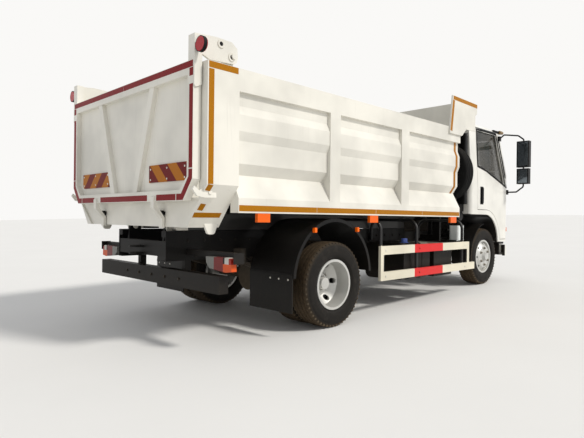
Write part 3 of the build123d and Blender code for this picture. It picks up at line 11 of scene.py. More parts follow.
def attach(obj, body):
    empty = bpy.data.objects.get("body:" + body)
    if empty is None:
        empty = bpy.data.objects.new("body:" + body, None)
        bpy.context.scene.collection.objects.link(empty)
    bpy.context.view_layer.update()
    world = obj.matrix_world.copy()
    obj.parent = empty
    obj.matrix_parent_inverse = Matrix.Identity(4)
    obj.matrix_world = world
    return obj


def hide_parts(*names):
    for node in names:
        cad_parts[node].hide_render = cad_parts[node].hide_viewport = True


bl_info = {
    "name": "Dump truck looks",
    "version": (1, 0, 0),
    "blender": (4, 5, 0),
    "location": "3D View > Sidebar > Truck",
    "description": "Finishes, tyres, trim, lamps and seats of a cab-over dump truck",
    "category": "Object",
}

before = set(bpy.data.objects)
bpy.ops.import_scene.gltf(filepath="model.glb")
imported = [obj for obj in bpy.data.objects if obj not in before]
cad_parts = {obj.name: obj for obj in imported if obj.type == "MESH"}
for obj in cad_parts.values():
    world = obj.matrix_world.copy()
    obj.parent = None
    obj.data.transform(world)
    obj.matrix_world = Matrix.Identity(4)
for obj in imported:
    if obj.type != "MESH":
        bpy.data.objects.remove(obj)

# Places, in millimetres: x forward from the rear axle, y left, z up

RAKE = math.radians(1.59)
MIDDLE = 1354.66489
TURN = (
    (math.cos(RAKE), 0, math.sin(RAKE), -MIDDLE),
    (0, 1, 0, 0),
    (-math.sin(RAKE), 0, math.cos(RAKE), 0),
    (0, 0, 0, 1),
)
TO_METRES = Matrix.Scale(0.001, 4)
SPRUNG = TO_METRES @ Matrix(TURN)
GROUND = TO_METRES @ Matrix.Translation((-MIDDLE, 0, 0))

WHEELBASE = 3460
TYRE_R = 400
# End of the truck, the ending of its names, x of its axle, y of its wheels
WHEELS = (("front", "", WHEELBASE, (842,)), ("rear", "s", 0, (991, 731)))
QUARTER = math.radians(90)
SPARE_PLACE = Matrix.Translation((2700, -700, 1650)) @ Matrix.Rotation(QUARTER, 4, "Z")
BODY_HALF = 1150
BODY_REAR = -1498
POST_FRONT = -1206
BODY_FRONT = 2307
BODY_TOP = 2146
GATE_REAR = -1573
PANEL = ((1115, 1972), (1115, 1870), (1142, 1800), (1142, 1675), (1115, 1605), (1115, 1430), (1058, 1345))
SIDES = (("right", -1), ("left", 1))

# Where lines of sight start: y out of the truck's side, x ahead of its front
BESIDE = 1500
BEFORE = 4700
# What the lines of sight are tried against, by node
TREES = {}


def linear(colour):
    """A colour written as 0 to 255 on screen, as the linear values a shader takes."""
    out = []
    for part in colour:
        part = part / 255
        out.append(part / 12.92 if part <= 0.04045 else ((part + 0.055) / 1.055) ** 2.4)
    return (*out, 1.0)


# Shader maths

class Value:
    """A float socket whose arithmetic becomes Math nodes."""

    def __init__(self, shader, socket):
        self.shader = shader
        self.socket = socket

    def math(self, operation, *others, clamp=False):
        """One Math node over this value and the others."""
        node = self.shader.add("ShaderNodeMath", {"operation": operation, "use_clamp": clamp})
        for place, part in enumerate((self, *others)):
            self.shader.feed(node.inputs[place], part)
        return Value(self.shader, node.outputs[0])

    def __add__(self, other):
        return self.math("ADD", other)

    __radd__ = __add__

    def __mul__(self, other):
        return self.math("MULTIPLY", other)

    __rmul__ = __mul__

    def __sub__(self, other):
        return self.math("SUBTRACT", other)

    def __rsub__(self, other):
        return (self * -1) + other

    def __truediv__(self, other):
        return self.math("DIVIDE", other)

    def __pow__(self, other):
        return self.math("POWER", other)

    def between(self, low, high):
        """0 at low, 1 at high, smooth between them."""
        node = self.shader.add("ShaderNodeMapRange", {"interpolation_type": "SMOOTHSTEP"})
        for place, part in enumerate((self, low, high, 0.0, 1.0)):
            self.shader.feed(node.inputs[place], part)
        return Value(self.shader, node.outputs[0])

    def cut(self):
        """Held between 0 and 1."""
        return self.math("ADD", 0.0, clamp=True)


class Shader:
    """The nodes of one material or world."""

    def __init__(self, owner):
        self.owner = owner
        owner.use_nodes = True
        self.tree = owner.node_tree
        self.tree.nodes.clear()

    @cached_property
    def place(self):
        """Where on the truck, in metres."""
        return self.add("ShaderNodeTexCoord").outputs["Object"]

    def add(self, kind, settings=None, values=None):
        """One node: its settings first, then its values or links by input name."""
        node = self.tree.nodes.new(kind)
        for key, value in (settings or {}).items():
            setattr(node, key, value)
        for key, value in (values or {}).items():
            self.feed(node.inputs[key], value)
        return node

    def feed(self, socket, value):
        """Links a value into a socket, or sets the number there."""
        if isinstance(value, Value):
            value = value.socket
        if isinstance(value, bpy.types.NodeSocket):
            self.tree.links.new(value, socket)
        else:
            socket.default_value = value

    def noise(self, scale, detail=4.0, place=None, roughness=0.55):
        """Noise from 0 to 1, with scale in repeats a metre."""
        values = {"Vector": place or self.place, "Scale": scale, "Detail": detail, "Roughness": roughness}
        return Value(self, self.add("ShaderNodeTexNoise", None, values).outputs["Fac"])

    def stretched(self, x, y, z):
        """The place with its three directions scaled apart."""
        node = self.add("ShaderNodeVectorMath", {"operation": "MULTIPLY"})
        self.feed(node.inputs[0], self.place)
        self.feed(node.inputs[1], (x, y, z))
        return node.outputs[0]

    def parts(self, vector=None):
        """The three parts of a vector."""
        node = self.add("ShaderNodeSeparateXYZ", None, {"Vector": vector or self.place})
        return [Value(self, socket) for socket in node.outputs]

    def facing_up(self):
        """How far the surface faces up, from 0 to 1."""
        normal = self.add("ShaderNodeNewGeometry").outputs["Normal"]
        return self.parts(normal)[2].cut()

    def mix(self, amount, first, second):
        """A colour between the first and the second."""
        node = self.add("ShaderNodeMix", {"data_type": "RGBA"})
        for place, part in ((0, amount), (6, first), (7, second)):
            self.feed(node.inputs[place], part)
        return node.outputs[2]

    def bump(self, height, strength, distance):
        """A normal from a height."""
        values = {"Height": height, "Strength": strength, "Distance": distance}
        return self.add("ShaderNodeBump", None, values).outputs["Normal"]

    def output(self, values):
        """The main shader, wired to the output."""
        shader = self.add("ShaderNodeBsdfPrincipled", None, values)
        self.add("ShaderNodeOutputMaterial", None, {"Surface": shader.outputs[0]})
        return self.owner


DUST = (158, 139, 112)
RUST = (104, 58, 34)
GRIME = (92, 82, 68)

# name: colour, roughness, metallic, coat, dust, dust height in m, rust, streaks, bump height in m
PAINTS = {
    "bed_paint": ((226, 223, 213), 0.42, 0.0, 0.15, 0.08, 1.3, 0.04, 0.14, 0.0006),
    "cab_paint": ((230, 228, 220), 0.32, 0.0, 0.40, 0.14, 1.1, 0.02, 0.10, 0.0003),
    "frame_paint": ((14, 14, 15), 0.50, 0.0, 0.06, 0.08, 1.0, 0.10, 0.12, 0.0010),
    "guard_paint": ((226, 219, 198), 0.46, 0.0, 0.05, 0.07, 0.9, 0.06, 0.18, 0.0006),
    "tank_paint": ((15, 15, 15), 0.50, 0.0, 0.06, 0.08, 1.0, 0.10, 0.15, 0.0008),
    "steel": ((58, 55, 52), 0.58, 0.4, 0.0, 0.50, 1.0, 0.60, 0.20, 0.0012),
    "bolt_steel": ((138, 134, 126), 0.38, 0.8, 0.0, 0.35, 0.9, 0.35, 0.10, 0.0006),
    "rod_steel": ((205, 206, 208), 0.14, 1.0, 0.0, 0.20, 0.9, 0.02, 0.10, 0.0001),
    "rim_paint": ((208, 208, 204), 0.32, 0.40, 0.20, 0.16, 0.7, 0.10, 0.16, 0.0006),
    "rubber": ((16, 16, 16), 0.80, 0.0, 0.0, 0.09, 0.9, 0.0, 0.10, 0.0012),
    "black_plastic": ((14, 14, 15), 0.40, 0.0, 0.06, 0.04, 1.1, 0.0, 0.12, 0.0006),
    "bumper_plastic": ((19, 19, 20), 0.42, 0.0, 0.15, 0.10, 0.9, 0.0, 0.12, 0.0005),
    "lamp_housing": ((23, 23, 24), 0.46, 0.0, 0.05, 0.16, 1.0, 0.0, 0.12, 0.0005),
    "soft_black": ((20, 20, 21), 0.62, 0.0, 0.0, 0.12, 1.2, 0.0, 0.10, 0.0004),
    "gate_boss": ((226, 222, 211), 0.42, 0.0, 0.15, 0.10, 1.3, 0.10, 0.22, 0.0004),
    "lug_rubber": ((48, 44, 39), 0.85, 0.0, 0.0, 0.35, 0.9, 0.0, 0.10, 0.0008),
    "chrome": ((214, 216, 220), 0.12, 1.0, 0.0, 0.05, 0.9, 0.0, 0.05, 0.0001),
    "frame_bolt": ((34, 33, 32), 0.5, 0.3, 0.05, 0.25, 1.0, 0.30, 0.10, 0.0004),
    "bed_bolt": ((222, 218, 207), 0.44, 0.0, 0.12, 0.18, 1.3, 0.20, 0.15, 0.0004),
    "guard_screw": ((196, 30, 28), 0.44, 0.0, 0.10, 0.20, 0.9, 0.15, 0.15, 0.0004),
    "sun_film": ((52, 132, 128), 0.35, 0.0, 0.2, 0.05, 1.0, 0.0, 0.0, 0.0001),
    "mirror_glass": ((112, 120, 128), 0.06, 0.95, 0.0, 0.05, 1.0, 0.0, 0.0, 0.0001),
    "white_screw": ((226, 224, 214), 0.36, 0.1, 0.1, 0.20, 1.0, 0.10, 0.05, 0.0003),
}

FAR = 99999
RED_PAINT = (212, 4, 8)
OLIVE = (112, 113, 102)
BLACK = (22, 22, 23)
# finish: (colour, gloss, low x, high x, low y out, high y out, low z, high z), later ones over earlier ones
AREAS = {
    "guard_paint": (
        (RED_PAINT, 0.0, 1316, 1940, 1096, FAR, -FAR, FAR),
        (BLACK, 0.0, -FAR, FAR, -FAR, 1099, -FAR, FAR),
        (BLACK, 0.0, -FAR, FAR, -FAR, FAR, 741, FAR),
        (BLACK, 0.0, 722, 2560, -FAR, FAR, 472, 642),
    ),
    # painted shade: the bed's long members and undersides, which lie in shade under the body, are coloured near black
    "bed_paint": (((20, 20, 20), 0.0, -1180, 2200, -FAR, 1046, -FAR, 1147),),
    "bumper_plastic": (((230, 228, 220), 0.5, 4100, FAR, -FAR, FAR, -FAR, FAR),),
    "cab_paint": (
        ((88, 90, 92), 0.0, 2976, 3950, -FAR, 950, 1100, 2318),
        ((20, 20, 21), 0.0, 2925, 3875, -FAR, 985, -FAR, 1100),
    ),
    "tank_paint": (
        (OLIVE, 0.0, 1640, 2345, -FAR, FAR, 718, FAR),
        ((104, 128, 214), 0.3, 1350, 1440, 890, 990, 746, FAR),
        ((236, 240, 238), 0.3, 2760, FAR, 740, FAR, 735, 938),
    ),
    "lamp_housing": (
        ((118, 118, 114), 0.3, -1243, -1192, 700, 890, 500, 720),
        ((112, 8, 14), 0.3, -1243, -1192, 890, 1010, 500, 720),
        ((196, 194, 186), 0.3, -1243, -1192, 1030, 1082, 655, 720),
        ((214, 78, 6), 0.3, -1243, -1192, 1010, 1130, 500, 655),
        ((150, 20, 10), 0.3, -1243, -1192, 1082, 1130, 655, 720),
        ((255, 106, 0), 0.2, -500, 400, 1128, FAR, 800, FAR),
    ),
}


def area_mask(shader, limits):
    """1 inside a box given along the truck's own frame in millimetres, y counted outwards on either side."""
    along, across, height = shader.parts()
    forward = along + MIDDLE / 1000
    stations = (
        forward * math.cos(RAKE) - height * math.sin(RAKE),
        across.math("ABSOLUTE"),
        forward * math.sin(RAKE) + height * math.cos(RAKE),
    )
    inside = None
    for i, station in enumerate(stations):
        for limit, test in ((limits[2 * i], "GREATER_THAN"), (limits[2 * i + 1], "LESS_THAN")):
            if abs(limit) < FAR:
                here = station.math(test, limit / 1000)
                inside = here if inside is None else inside * here
    return inside


def paint(name, amounts):
    """A painted, moulded or metal surface with dust from below and above, streaks, rust and grain."""
    colour, rough, metal, coat, dust, top, rust, streaks, relief = PAINTS[name]
    shader = Shader(bpy.data.materials.new(name))
    height = shader.parts()[2]
    broad = shader.noise(1.7, 3.0)
    grain = shader.noise(26.0, 6.0, roughness=0.65)
    fine = shader.noise(310.0, 3.0)
    runs = shader.noise(1.0, 5.0, shader.stretched(34, 34, 1.4), 0.6)
    splash = (1 - height / top).cut() ** 1.4
    settled = (shader.facing_up() ** 2) * 0.45
    dusty = ((splash + settled) * (grain * 1.1 + broad * 0.5) * (dust * amounts.dust)).cut()
    streaked = runs.between(0.56, 0.80) * (streaks * amounts.dust) * (broad * 1.2)
    rusty = (grain * 0.6 + broad * 0.45).between(0.74 - 0.08 * rust, 0.80) * min(1.0, rust * amounts.rust)
    light = tuple(min(255, part * 1.03) for part in colour)
    dark = tuple(part * 0.93 for part in colour)
    tone = shader.mix(broad.between(0.3, 0.7), linear(dark), linear(light))
    gloss = None
    # area colours: parts of another colour, and on the bed a painted shade under the body
    for other, shine, *limits in AREAS.get(name, ()):
        inside = area_mask(shader, limits)
        tone = shader.mix(inside, tone, linear(other))
        if shine:
            gloss = inside * shine if gloss is None else gloss.math("MAXIMUM", inside * shine)
    tone = shader.mix(streaked.cut(), tone, linear(GRIME))
    tone = shader.mix(rusty, tone, linear(RUST))
    tone = shader.mix(dusty, tone, linear(DUST))
    roughness = (dusty * 0.4 + rusty * 0.35 + fine * 0.08 + rough).cut()
    metallic = (1 - (dusty + rusty).cut()) * metal
    normal = shader.bump(fine * 0.4 + grain * 0.6 + rusty * 0.8, 0.35, relief)
    coats = (1 - dusty) * coat
    if gloss is not None:
        roughness = (roughness - gloss * 0.3).cut()
        coats = (coats + gloss * (1 - dusty)).cut()
    values = {"Base Color": tone, "Roughness": roughness, "Metallic": metallic, "Normal": normal}
    values["Coat Weight"] = coats
    values["Specular IOR Level"] = 0.15 if max(colour) < 70 else 0.45
    return shader.output(values)


# name: colour, ribs a metre, strength of a painted glow that lights the lens up from inside
LENSES = {
    "lamp_red": ((190, 6, 34), 190.0, 0.22),
    "lamp_amber": ((255, 104, 0), 190.0, 0.16),
    "lamp_clear": ((206, 208, 204), 170.0, 0.02),
    "lamp_olive": ((150, 118, 58), 170.0, 0.0),
    "headlamp": ((214, 219, 222), 60.0, 0.0),
}


def lens(name, amounts):
    """Moulded lamp glass with prism ribs under a clear face, a film of dust, and a painted glow that brightens it."""
    colour, ribs, own = LENSES[name]
    shader = Shader(bpy.data.materials.new(name))
    _, across, height = shader.parts()
    wave = (across * (ribs * math.tau)).math("SINE") * 0.5 + 0.5
    rows = (height * (ribs * math.tau * 0.5)).math("SINE") * 0.5 + 0.5
    film = (shader.noise(24.0, 5.0) * (0.3 * amounts.dust)).cut()
    tone = shader.mix(wave * 0.5, linear(tuple(part * 0.72 for part in colour)), linear(colour))
    shade = shader.mix(film * 0.15, tone, linear(DUST))
    normal = shader.bump(wave * 0.6 + rows * 0.4, 0.5, 0.0008)
    values = {"Base Color": shade, "Roughness": film * 0.5 + 0.16, "Normal": normal}
    values["Coat Weight"] = (1 - film) * 0.2
    values["Specular IOR Level"] = 0.2
    # painted glow: emission brightens the lens in place of light falling on it
    values["Emission Color"] = tone
    values["Emission Strength"] = own
    return shader.output(values)


# Waves a metre in the weave of the tape
WEAVE = 110.0


def tape(name, amounts, colour):
    """Reflective tape: a fine diamond weave under a glossy film, scuffed and dusty."""
    shader = Shader(bpy.data.materials.new(name))
    along, across, height = shader.parts()
    side = along + across
    first, second = [(line * (WEAVE * math.tau)).math("SINE").math("ABSOLUTE")
                     for line in (side + height, side - height)]
    weave = (first * second).between(0.03, 0.25)
    scuff = shader.noise(60.0, 6.0).between(0.58, 0.74)
    film = (shader.noise(9.0, 5.0) * (0.5 * amounts.dust)).cut()
    tone = shader.mix(weave, linear(tuple(part * 0.78 for part in colour)), linear(colour))
    tone = shader.mix(scuff * 0.18, tone, linear(GRIME))
    tone = shader.mix(film * 0.03, tone, linear(DUST))
    normal = shader.bump(weave, 0.2, 0.0003)
    values = {"Base Color": tone, "Roughness": scuff * 0.2 + film * 0.2 + 0.34, "Normal": normal}
    values["Specular IOR Level"] = 0.12
    values["Coat Weight"] = (1 - film) * 0.05
    return shader.output(values)


STRIPE_PITCH = 0.262


def striped(name, amounts, slope, shift):
    """A plate of slanted red and amber bands."""
    shader = Shader(bpy.data.materials.new(name))
    _, across, height = shader.parts()
    band = ((across * slope + height) / STRIPE_PITCH + shift).math("FRACT")
    edge = band.between(0.485, 0.515)
    scuff = shader.noise(70.0, 6.0).between(0.56, 0.72)
    film = (shader.noise(11.0, 5.0) * (0.6 * amounts.dust)).cut()
    tone = shader.mix(edge, linear((106, 2, 6)), linear((176, 106, 12)))
    tone = shader.mix(scuff * 0.2, tone, linear(GRIME))
    tone = shader.mix(film * 0.04, tone, linear(DUST))
    normal = shader.bump(scuff, 0.2, 0.0003)
    values = {"Base Color": tone, "Roughness": scuff * 0.3 + film * 0.2 + 0.34, "Normal": normal}
    values["Specular IOR Level"] = 0.12
    return shader.output(values)


def tyre_rubber(name, amounts):
    """Black rubber: brown dust in the tread and its grooves, scuffs on the wall."""
    shader = Shader(bpy.data.materials.new(name))
    deep = Value(shader, shader.add("ShaderNodeAttribute", {"attribute_name": "tread"}).outputs["Fac"])
    grain = shader.noise(34.0, 6.0, roughness=0.7)
    fine = shader.noise(420.0, 3.0)
    scuff = shader.noise(16.0, 6.0).between(0.52, 0.72)
    dusty = ((deep * 0.66 + 0.05) * (grain * 1.2) * amounts.dust).cut()
    tone = shader.mix(scuff * 0.35, linear((16, 16, 16)), linear((44, 41, 37)))
    tone = shader.mix(dusty, tone, linear((112, 92, 66)))
    normal = shader.bump(fine * 0.5 + grain * 0.5, 0.4, 0.001)
    values = {"Base Color": tone, "Roughness": dusty * 0.2 + 0.72, "Normal": normal, "Specular IOR Level": 0.2}
    return shader.output(values)


def window_glass(name, amounts):
    """Tinted sheet glass that clears as it is looked through and mirrors at its edges."""
    shader = Shader(bpy.data.materials.new(name))
    facing = Value(shader, shader.add("ShaderNodeLayerWeight", None, {"Blend": 0.35}).outputs["Facing"])
    film = (shader.noise(5.0, 6.0) * (0.22 * amounts.dust)).cut()
    tone = shader.mix(film, linear((30, 39, 40)), linear(DUST))
    alpha = (facing * 0.5 + film * 0.4 + 0.30).cut()
    values = {"Base Color": tone, "Roughness": film * 0.4 + 0.05, "Alpha": alpha}
    return shader.output(values)


def cloth(name, amounts):
    """Woven seat cloth with darker worn patches."""
    shader = Shader(bpy.data.materials.new(name))
    along, across, height = shader.parts()
    warp = (across * (240.0 * math.tau)).math("SINE") * 0.5 + 0.5
    weft = ((along + height) * (240.0 * math.tau)).math("SINE") * 0.5 + 0.5
    worn = shader.noise(7.0, 5.0).between(0.4, 0.7)
    tone = shader.mix(warp * weft, linear((58, 58, 60)), linear((96, 96, 98)))
    tone = shader.mix(worn * 0.35 * amounts.dust, tone, linear((126, 118, 104)))
    normal = shader.bump(warp + weft, 0.5, 0.0006)
    return shader.output({"Base Color": tone, "Roughness": worn * 0.1 + 0.82, "Normal": normal})


def floor_finish(name, amounts):
    """A plain pale floor with a faint tone."""
    shader = Shader(bpy.data.materials.new(name))
    tone = shader.mix(shader.noise(0.8, 4.0), linear((226, 225, 222)), linear((232, 231, 228)))
    return shader.output({"Base Color": tone, "Roughness": 0.85})


# Finishes made in a way of their own, with their colours or sizes
MAKERS = {
    "tape_amber": (tape, (174, 112, 2)),
    "tape_red": (tape, (132, 0, 14)),
    "plate_right": (striped, -1.0, 20.30),
    "plate_left": (striped, 1.0, 20.05),
    "tyre_rubber": (tyre_rubber,),
    "window_glass": (window_glass,),
    "seat_cloth": (cloth,),
    "floor": (floor_finish,),
}


def finish(name):
    """The finish of that name, made once with the scene's amounts of dust and rust."""
    made = bpy.data.materials.get(name)
    if made and made.get("truck"):
        return made
    maker, *settings = MAKERS.get(name) or ((paint if name in PAINTS else lens),)
    made = maker(name, bpy.context.scene.truck_finish, *settings)
    made.name = name
    made["truck"] = True
    return made


# Shapes, all in millimetres in a bmesh

def slab(bm, low, high):
    """A box between two corners."""
    made = bmesh.ops.create_cube(bm, size=1.0)["verts"]
    bmesh.ops.scale(bm, vec=[high[i] - low[i] for i in range(3)], verts=made)
    bmesh.ops.translate(bm, vec=[(high[i] + low[i]) / 2 for i in range(3)], verts=made)


def side_slab(bm, side, low, high):
    """A box between two corners whose y counts outwards on one side."""
    near, far = sorted((side * low[1], side * high[1]))
    slab(bm, (low[0], near, low[2]), (high[0], far, high[2]))


def sweep(bm, path, outline, normal=None, closed=False):
    """An outline of (side, out) points carried along a path; normal is the way out, one for all or one a point."""
    path = [Vector(point) for point in path]
    count = len(path)
    rings = []
    out = Vector((0, 0, 1))
    for i, point in enumerate(path):
        before = path[i - 1] if i or closed else point
        after = path[(i + 1) % count] if i + 1 < count or closed else point
        first = (point - before).normalized()
        last = (after - point).normalized()
        tangent = first + last
        tangent = tangent.normalized() if tangent.length > 1e-6 else last
        if normal is None:
            if abs(out.dot(tangent)) > 0.95:
                out = Vector((1, 0, 0)) if abs(tangent.x) < 0.9 else Vector((0, 1, 0))
            out = (out - tangent * out.dot(tangent)).normalized()
        else:
            out = Vector(normal[i]) if hasattr(normal[0], "__len__") else Vector(normal)
        side = out.cross(tangent).normalized()
        half = max(0.35, tangent.dot(last)) if last.length > 0.5 else 1.0
        rings.append([bm.verts.new(point + side * (a / half if normal is not None else a) + out * b)
                      for a, b in outline])
    size = len(outline)
    for i in range(count if closed else count - 1):
        here = rings[i]
        there = rings[(i + 1) % count]
        for j in range(size):
            bm.faces.new((here[j], here[(j + 1) % size], there[(j + 1) % size], there[j]))
    if not closed:
        bm.faces.new(rings[0])
        bm.faces.new(rings[-1])


def circle(radius, sides):
    """Points of a circle for sweep."""
    return [(radius * math.cos(i * math.tau / sides), radius * math.sin(i * math.tau / sides))
            for i in range(sides)]


def flat(width, height):
    """A flat outline standing out by its height."""
    half = width / 2
    return [(-half, 0), (half, 0), (half, height), (-half, height)]


def turned(bm, profile, centre, axis, steps=48, wave=None, layer=None):
    """(along, radius) points turned about an axis through a centre. A closed ring if the profile is closed."""
    axis = Vector(axis).normalized()
    turn = axis.to_track_quat("Z", "Y").to_matrix()
    rings = []
    for i in range(steps):
        angle = i * math.tau / steps
        ring = []
        for j, (along, radius) in enumerate(profile):
            shift = wave[j] * (1 if i % 2 else -1) if wave else 0
            local = Vector((radius * math.cos(angle), radius * math.sin(angle), along + shift))
            vert = bm.verts.new(Vector(centre) + turn @ local)
            if layer:
                vert[layer[0]] = layer[1][j]
            ring.append(vert)
        rings.append(ring)
    for i in range(steps):
        here = rings[i]
        there = rings[(i + 1) % steps]
        for j in range(len(profile) - 1):
            bm.faces.new((here[j], here[j + 1], there[j + 1], there[j]))
    return rings


def lathe(bm, profile, centre, axis, steps=32):
    """A solid turned form, closed at both ends with a face."""
    rings = turned(bm, profile, centre, axis, steps)
    for end in (0, -1):
        bm.faces.new([ring[end] for ring in rings])


def prism(bm, outline, low, high):
    """A (y, z) outline carried along x."""
    first, second = [[bm.verts.new((x, *point)) for point in outline] for x in (low, high)]
    bm.faces.new(first)
    bm.faces.new(second)
    for i in range(len(outline)):
        j = (i + 1) % len(outline)
        bm.faces.new((first[i], first[j], second[j], second[i]))


def soften(bm, width, segments=1):
    """Rounds the edges sharper than 30 degrees."""
    sharp = [edge for edge in bm.edges
             if len(edge.link_faces) == 2 and edge.calc_face_angle(0) > math.radians(30)]
    bmesh.ops.bevel(bm, geom=sharp, offset=width, segments=segments, affect="EDGES", clamp_overlap=True)


def dress(made, body, angle):
    """Smooths a piece's faces up to an angle, and gives it its body."""
    for face in made.data.polygons:
        face.use_smooth = True
    made.data.set_sharp_from_angle(angle=math.radians(angle))
    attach(made, body)
    return made


def piece(name, bm, finish_name, body, stance=SPRUNG, angle=35, merge=False):
    """Turns a bmesh in millimetres into a piece in the row frame that rides on a body."""
    if merge:
        bmesh.ops.remove_doubles(bm, verts=bm.verts, dist=0.01)
    bmesh.ops.recalc_face_normals(bm, faces=bm.faces)
    bmesh.ops.transform(bm, matrix=stance, verts=bm.verts)
    mesh = bpy.data.meshes.new(name)
    bm.to_mesh(mesh)
    bm.free()
    mesh.materials.append(finish(finish_name))
    made = bpy.data.objects.new(name, mesh)
    bpy.context.scene.collection.objects.link(made)
    return dress(made, body, angle)


def black(name, bm, body):
    """A piece of dull black plastic or rubber."""
    return piece(name, bm, "soft_black", body)


def surface(node, start, direction, stance=SPRUNG):
    """Where a line from a point meets a CAD node, in millimetres, or None."""
    if node not in TREES:
        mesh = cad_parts[node].data
        corners = [vert.co for vert in mesh.vertices]
        TREES[node] = BVHTree.FromPolygons(corners, [face.vertices for face in mesh.polygons])
    way = (stance.to_3x3() @ Vector(direction)).normalized()
    found = TREES[node].ray_cast(stance @ Vector(start), way)[0]
    return stance.inverted() @ found if found else None


def resting(node, start, direction, lift=0.0, stance=SPRUNG):
    """The point where a line meets a CAD node, drawn back towards its start by a lift."""
    found = surface(node, start, direction, stance)
    if found is None:
        raise RuntimeError(f"{node} has no face in line with {start}")
    return found - Vector(direction).normalized() * lift


def beside(node, side, x, z, lift=0.0):
    """The point of a CAD node that shows from one side of the truck."""
    return resting(node, (x, side * BESIDE, z), (0, -side, 0), lift)


def ahead(node, y, z, lift=0.0):
    """The point of a CAD node that shows from the front."""
    return resting(node, (BEFORE, y, z), (-1, 0, 0), lift)


# Repeats through Geometry Nodes

def on_points(add, link, source):
    """Points from the mesh, turned by their turn attribute and spun at random about themselves."""
    turn = add("GeometryNodeInputNamedAttribute")
    turn.data_type = "FLOAT_VECTOR"
    turn.inputs["Name"].default_value = "turn"
    to_turn = add("FunctionNodeEulerToRotation")
    spin = add("FunctionNodeRandomValue")
    spin.data_type = "FLOAT"
    about = add("FunctionNodeAxisAngleToRotation")
    both = add("FunctionNodeRotateRotation")
    both.rotation_space = "LOCAL"
    low, high = [socket for socket in spin.inputs if socket.type == "VALUE"][:2]
    low.default_value = 0.0
    value = [socket for socket in spin.outputs if socket.type == "VALUE"][0]
    link(turn.outputs["Attribute"], to_turn.inputs[0])
    link(source["Spin"], high)
    link(source["Seed"], spin.inputs["Seed"])
    link(value, about.inputs["Angle"])
    link(to_turn.outputs[0], both.inputs[0])
    link(about.outputs[0], both.inputs[1])
    return source["Geometry"], both.outputs[0]


def round_ring(add, link, source):
    """Points round a ring about Z, each turned to face out from it."""
    ring = add("GeometryNodeMeshCircle")
    index = add("GeometryNodeInputIndex")
    share = add("ShaderNodeMath")
    share.operation = "DIVIDE"
    angle = add("ShaderNodeMath")
    angle.operation = "MULTIPLY"
    angle.inputs[1].default_value = math.tau
    vector = add("ShaderNodeCombineXYZ")
    to_turn = add("FunctionNodeEulerToRotation")
    link(source["Count"], ring.inputs["Vertices"])
    link(source["Radius"], ring.inputs["Radius"])
    link(index.outputs[0], share.inputs[0])
    link(source["Count"], share.inputs[1])
    link(share.outputs[0], angle.inputs[0])
    link(angle.outputs[0], vector.inputs["Z"])
    link(vector.outputs[0], to_turn.inputs[0])
    return ring.outputs[0], to_turn.outputs[0]


SPREADS = {
    "Repeat on points": (on_points, ("Spin", "Float"), ("Seed", "Int")),
    "Repeat round a ring": (round_ring, ("Count", "Int"), ("Radius", "Float")),
}


@cache
def repeat_group(name):
    """The geometry group of that name, which copies a pattern, and its inputs' identifiers by label."""
    spread, *own = SPREADS[name]
    group = bpy.data.node_groups.new(name, "GeometryNodeTree")
    names = {}
    for label, kind in (("Geometry", "Geometry"), ("Pattern", "Object"), *own, ("Finish", "Material")):
        socket = group.interface.new_socket(name=label, in_out="INPUT", socket_type=f"NodeSocket{kind}")
        names[label] = socket.identifier
    group.interface.new_socket(name="Geometry", in_out="OUTPUT", socket_type="NodeSocketGeometry")
    add, link = group.nodes.new, group.links.new
    source, sink = add("NodeGroupInput").outputs, add("NodeGroupOutput").inputs
    pattern = add("GeometryNodeObjectInfo")
    copies = add("GeometryNodeInstanceOnPoints")
    real = add("GeometryNodeRealizeInstances")
    colour = add("GeometryNodeSetMaterial")
    points, turn = spread(add, link, source)
    link(source["Pattern"], pattern.inputs["Object"])
    link(points, copies.inputs["Points"])
    link(pattern.outputs["Geometry"], copies.inputs["Instance"])
    link(turn, copies.inputs["Rotation"])
    link(copies.outputs[0], real.inputs[0])
    link(real.outputs[0], colour.inputs["Geometry"])
    link(source["Finish"], colour.inputs["Material"])
    link(colour.outputs[0], sink[0])
    return group, names


def repeat(name, bm, group_name, values, finish_name, body, points=(), place=None):
    """A piece of many like shapes. bm holds the shape in millimetres about its own origin, +Z outwards."""
    group, names = repeat_group(group_name)
    bmesh.ops.recalc_face_normals(bm, faces=bm.faces)
    shape = bpy.data.meshes.new(name + "_shape")
    bmesh.ops.transform(bm, matrix=TO_METRES, verts=bm.verts)
    bm.to_mesh(shape)
    bm.free()
    pattern = bpy.data.objects.new(name + "_shape", shape)
    mesh = bpy.data.meshes.new(name)
    if points:
        mesh.from_pydata([point for point, _ in points], [], [])
        turns = mesh.attributes.new("turn", "FLOAT_VECTOR", "POINT")
        for i, (_, way) in enumerate(points):
            turns.data[i].vector = way.to_track_quat("Z", "Y").to_euler()
    made = bpy.data.objects.new(name, mesh)
    for thing in (pattern, made):
        bpy.context.scene.collection.objects.link(thing)
    modifier = made.modifiers.new("Repeat", "NODES")
    modifier.node_group = group
    for label, value in {"Pattern": pattern, "Finish": finish(finish_name), **values}.items():
        modifier[names[label]] = value
    graph = bpy.context.evaluated_depsgraph_get()
    mesh = bpy.data.meshes.new_from_object(made.evaluated_get(graph), depsgraph=graph)
    made.modifiers.clear()
    made.data = mesh
    bpy.data.objects.remove(pattern)
    if place is not None:
        mesh.transform(place)
    return dress(made, body, 35)


FULL_SPIN = 6.28


def repeat_at(name, bm, seed, finish_name, body, spots, way):
    """Like shapes at spots in millimetres that stand out against one way, each spun at random."""
    out = (SPRUNG.to_3x3() @ -Vector(way)).normalized()
    points = [(SPRUNG @ Vector(spot), out) for spot in spots if spot is not None]
    if not points:
        raise RuntimeError(f"no face was found for {name}")
    repeat(name, bm, "Repeat on points", {"Spin": FULL_SPIN, "Seed": seed}, finish_name, body, points)


def repeat_round(name, bm, count, radius, finish_name, body, place):
    """Like shapes in a ring about the Z of a place, its radius in millimetres."""
    values = {"Count": count, "Radius": radius / 1000}
    repeat(name, bm, "Repeat round a ring", values, finish_name, body,
           place=place @ Matrix.Scale(1000, 4))


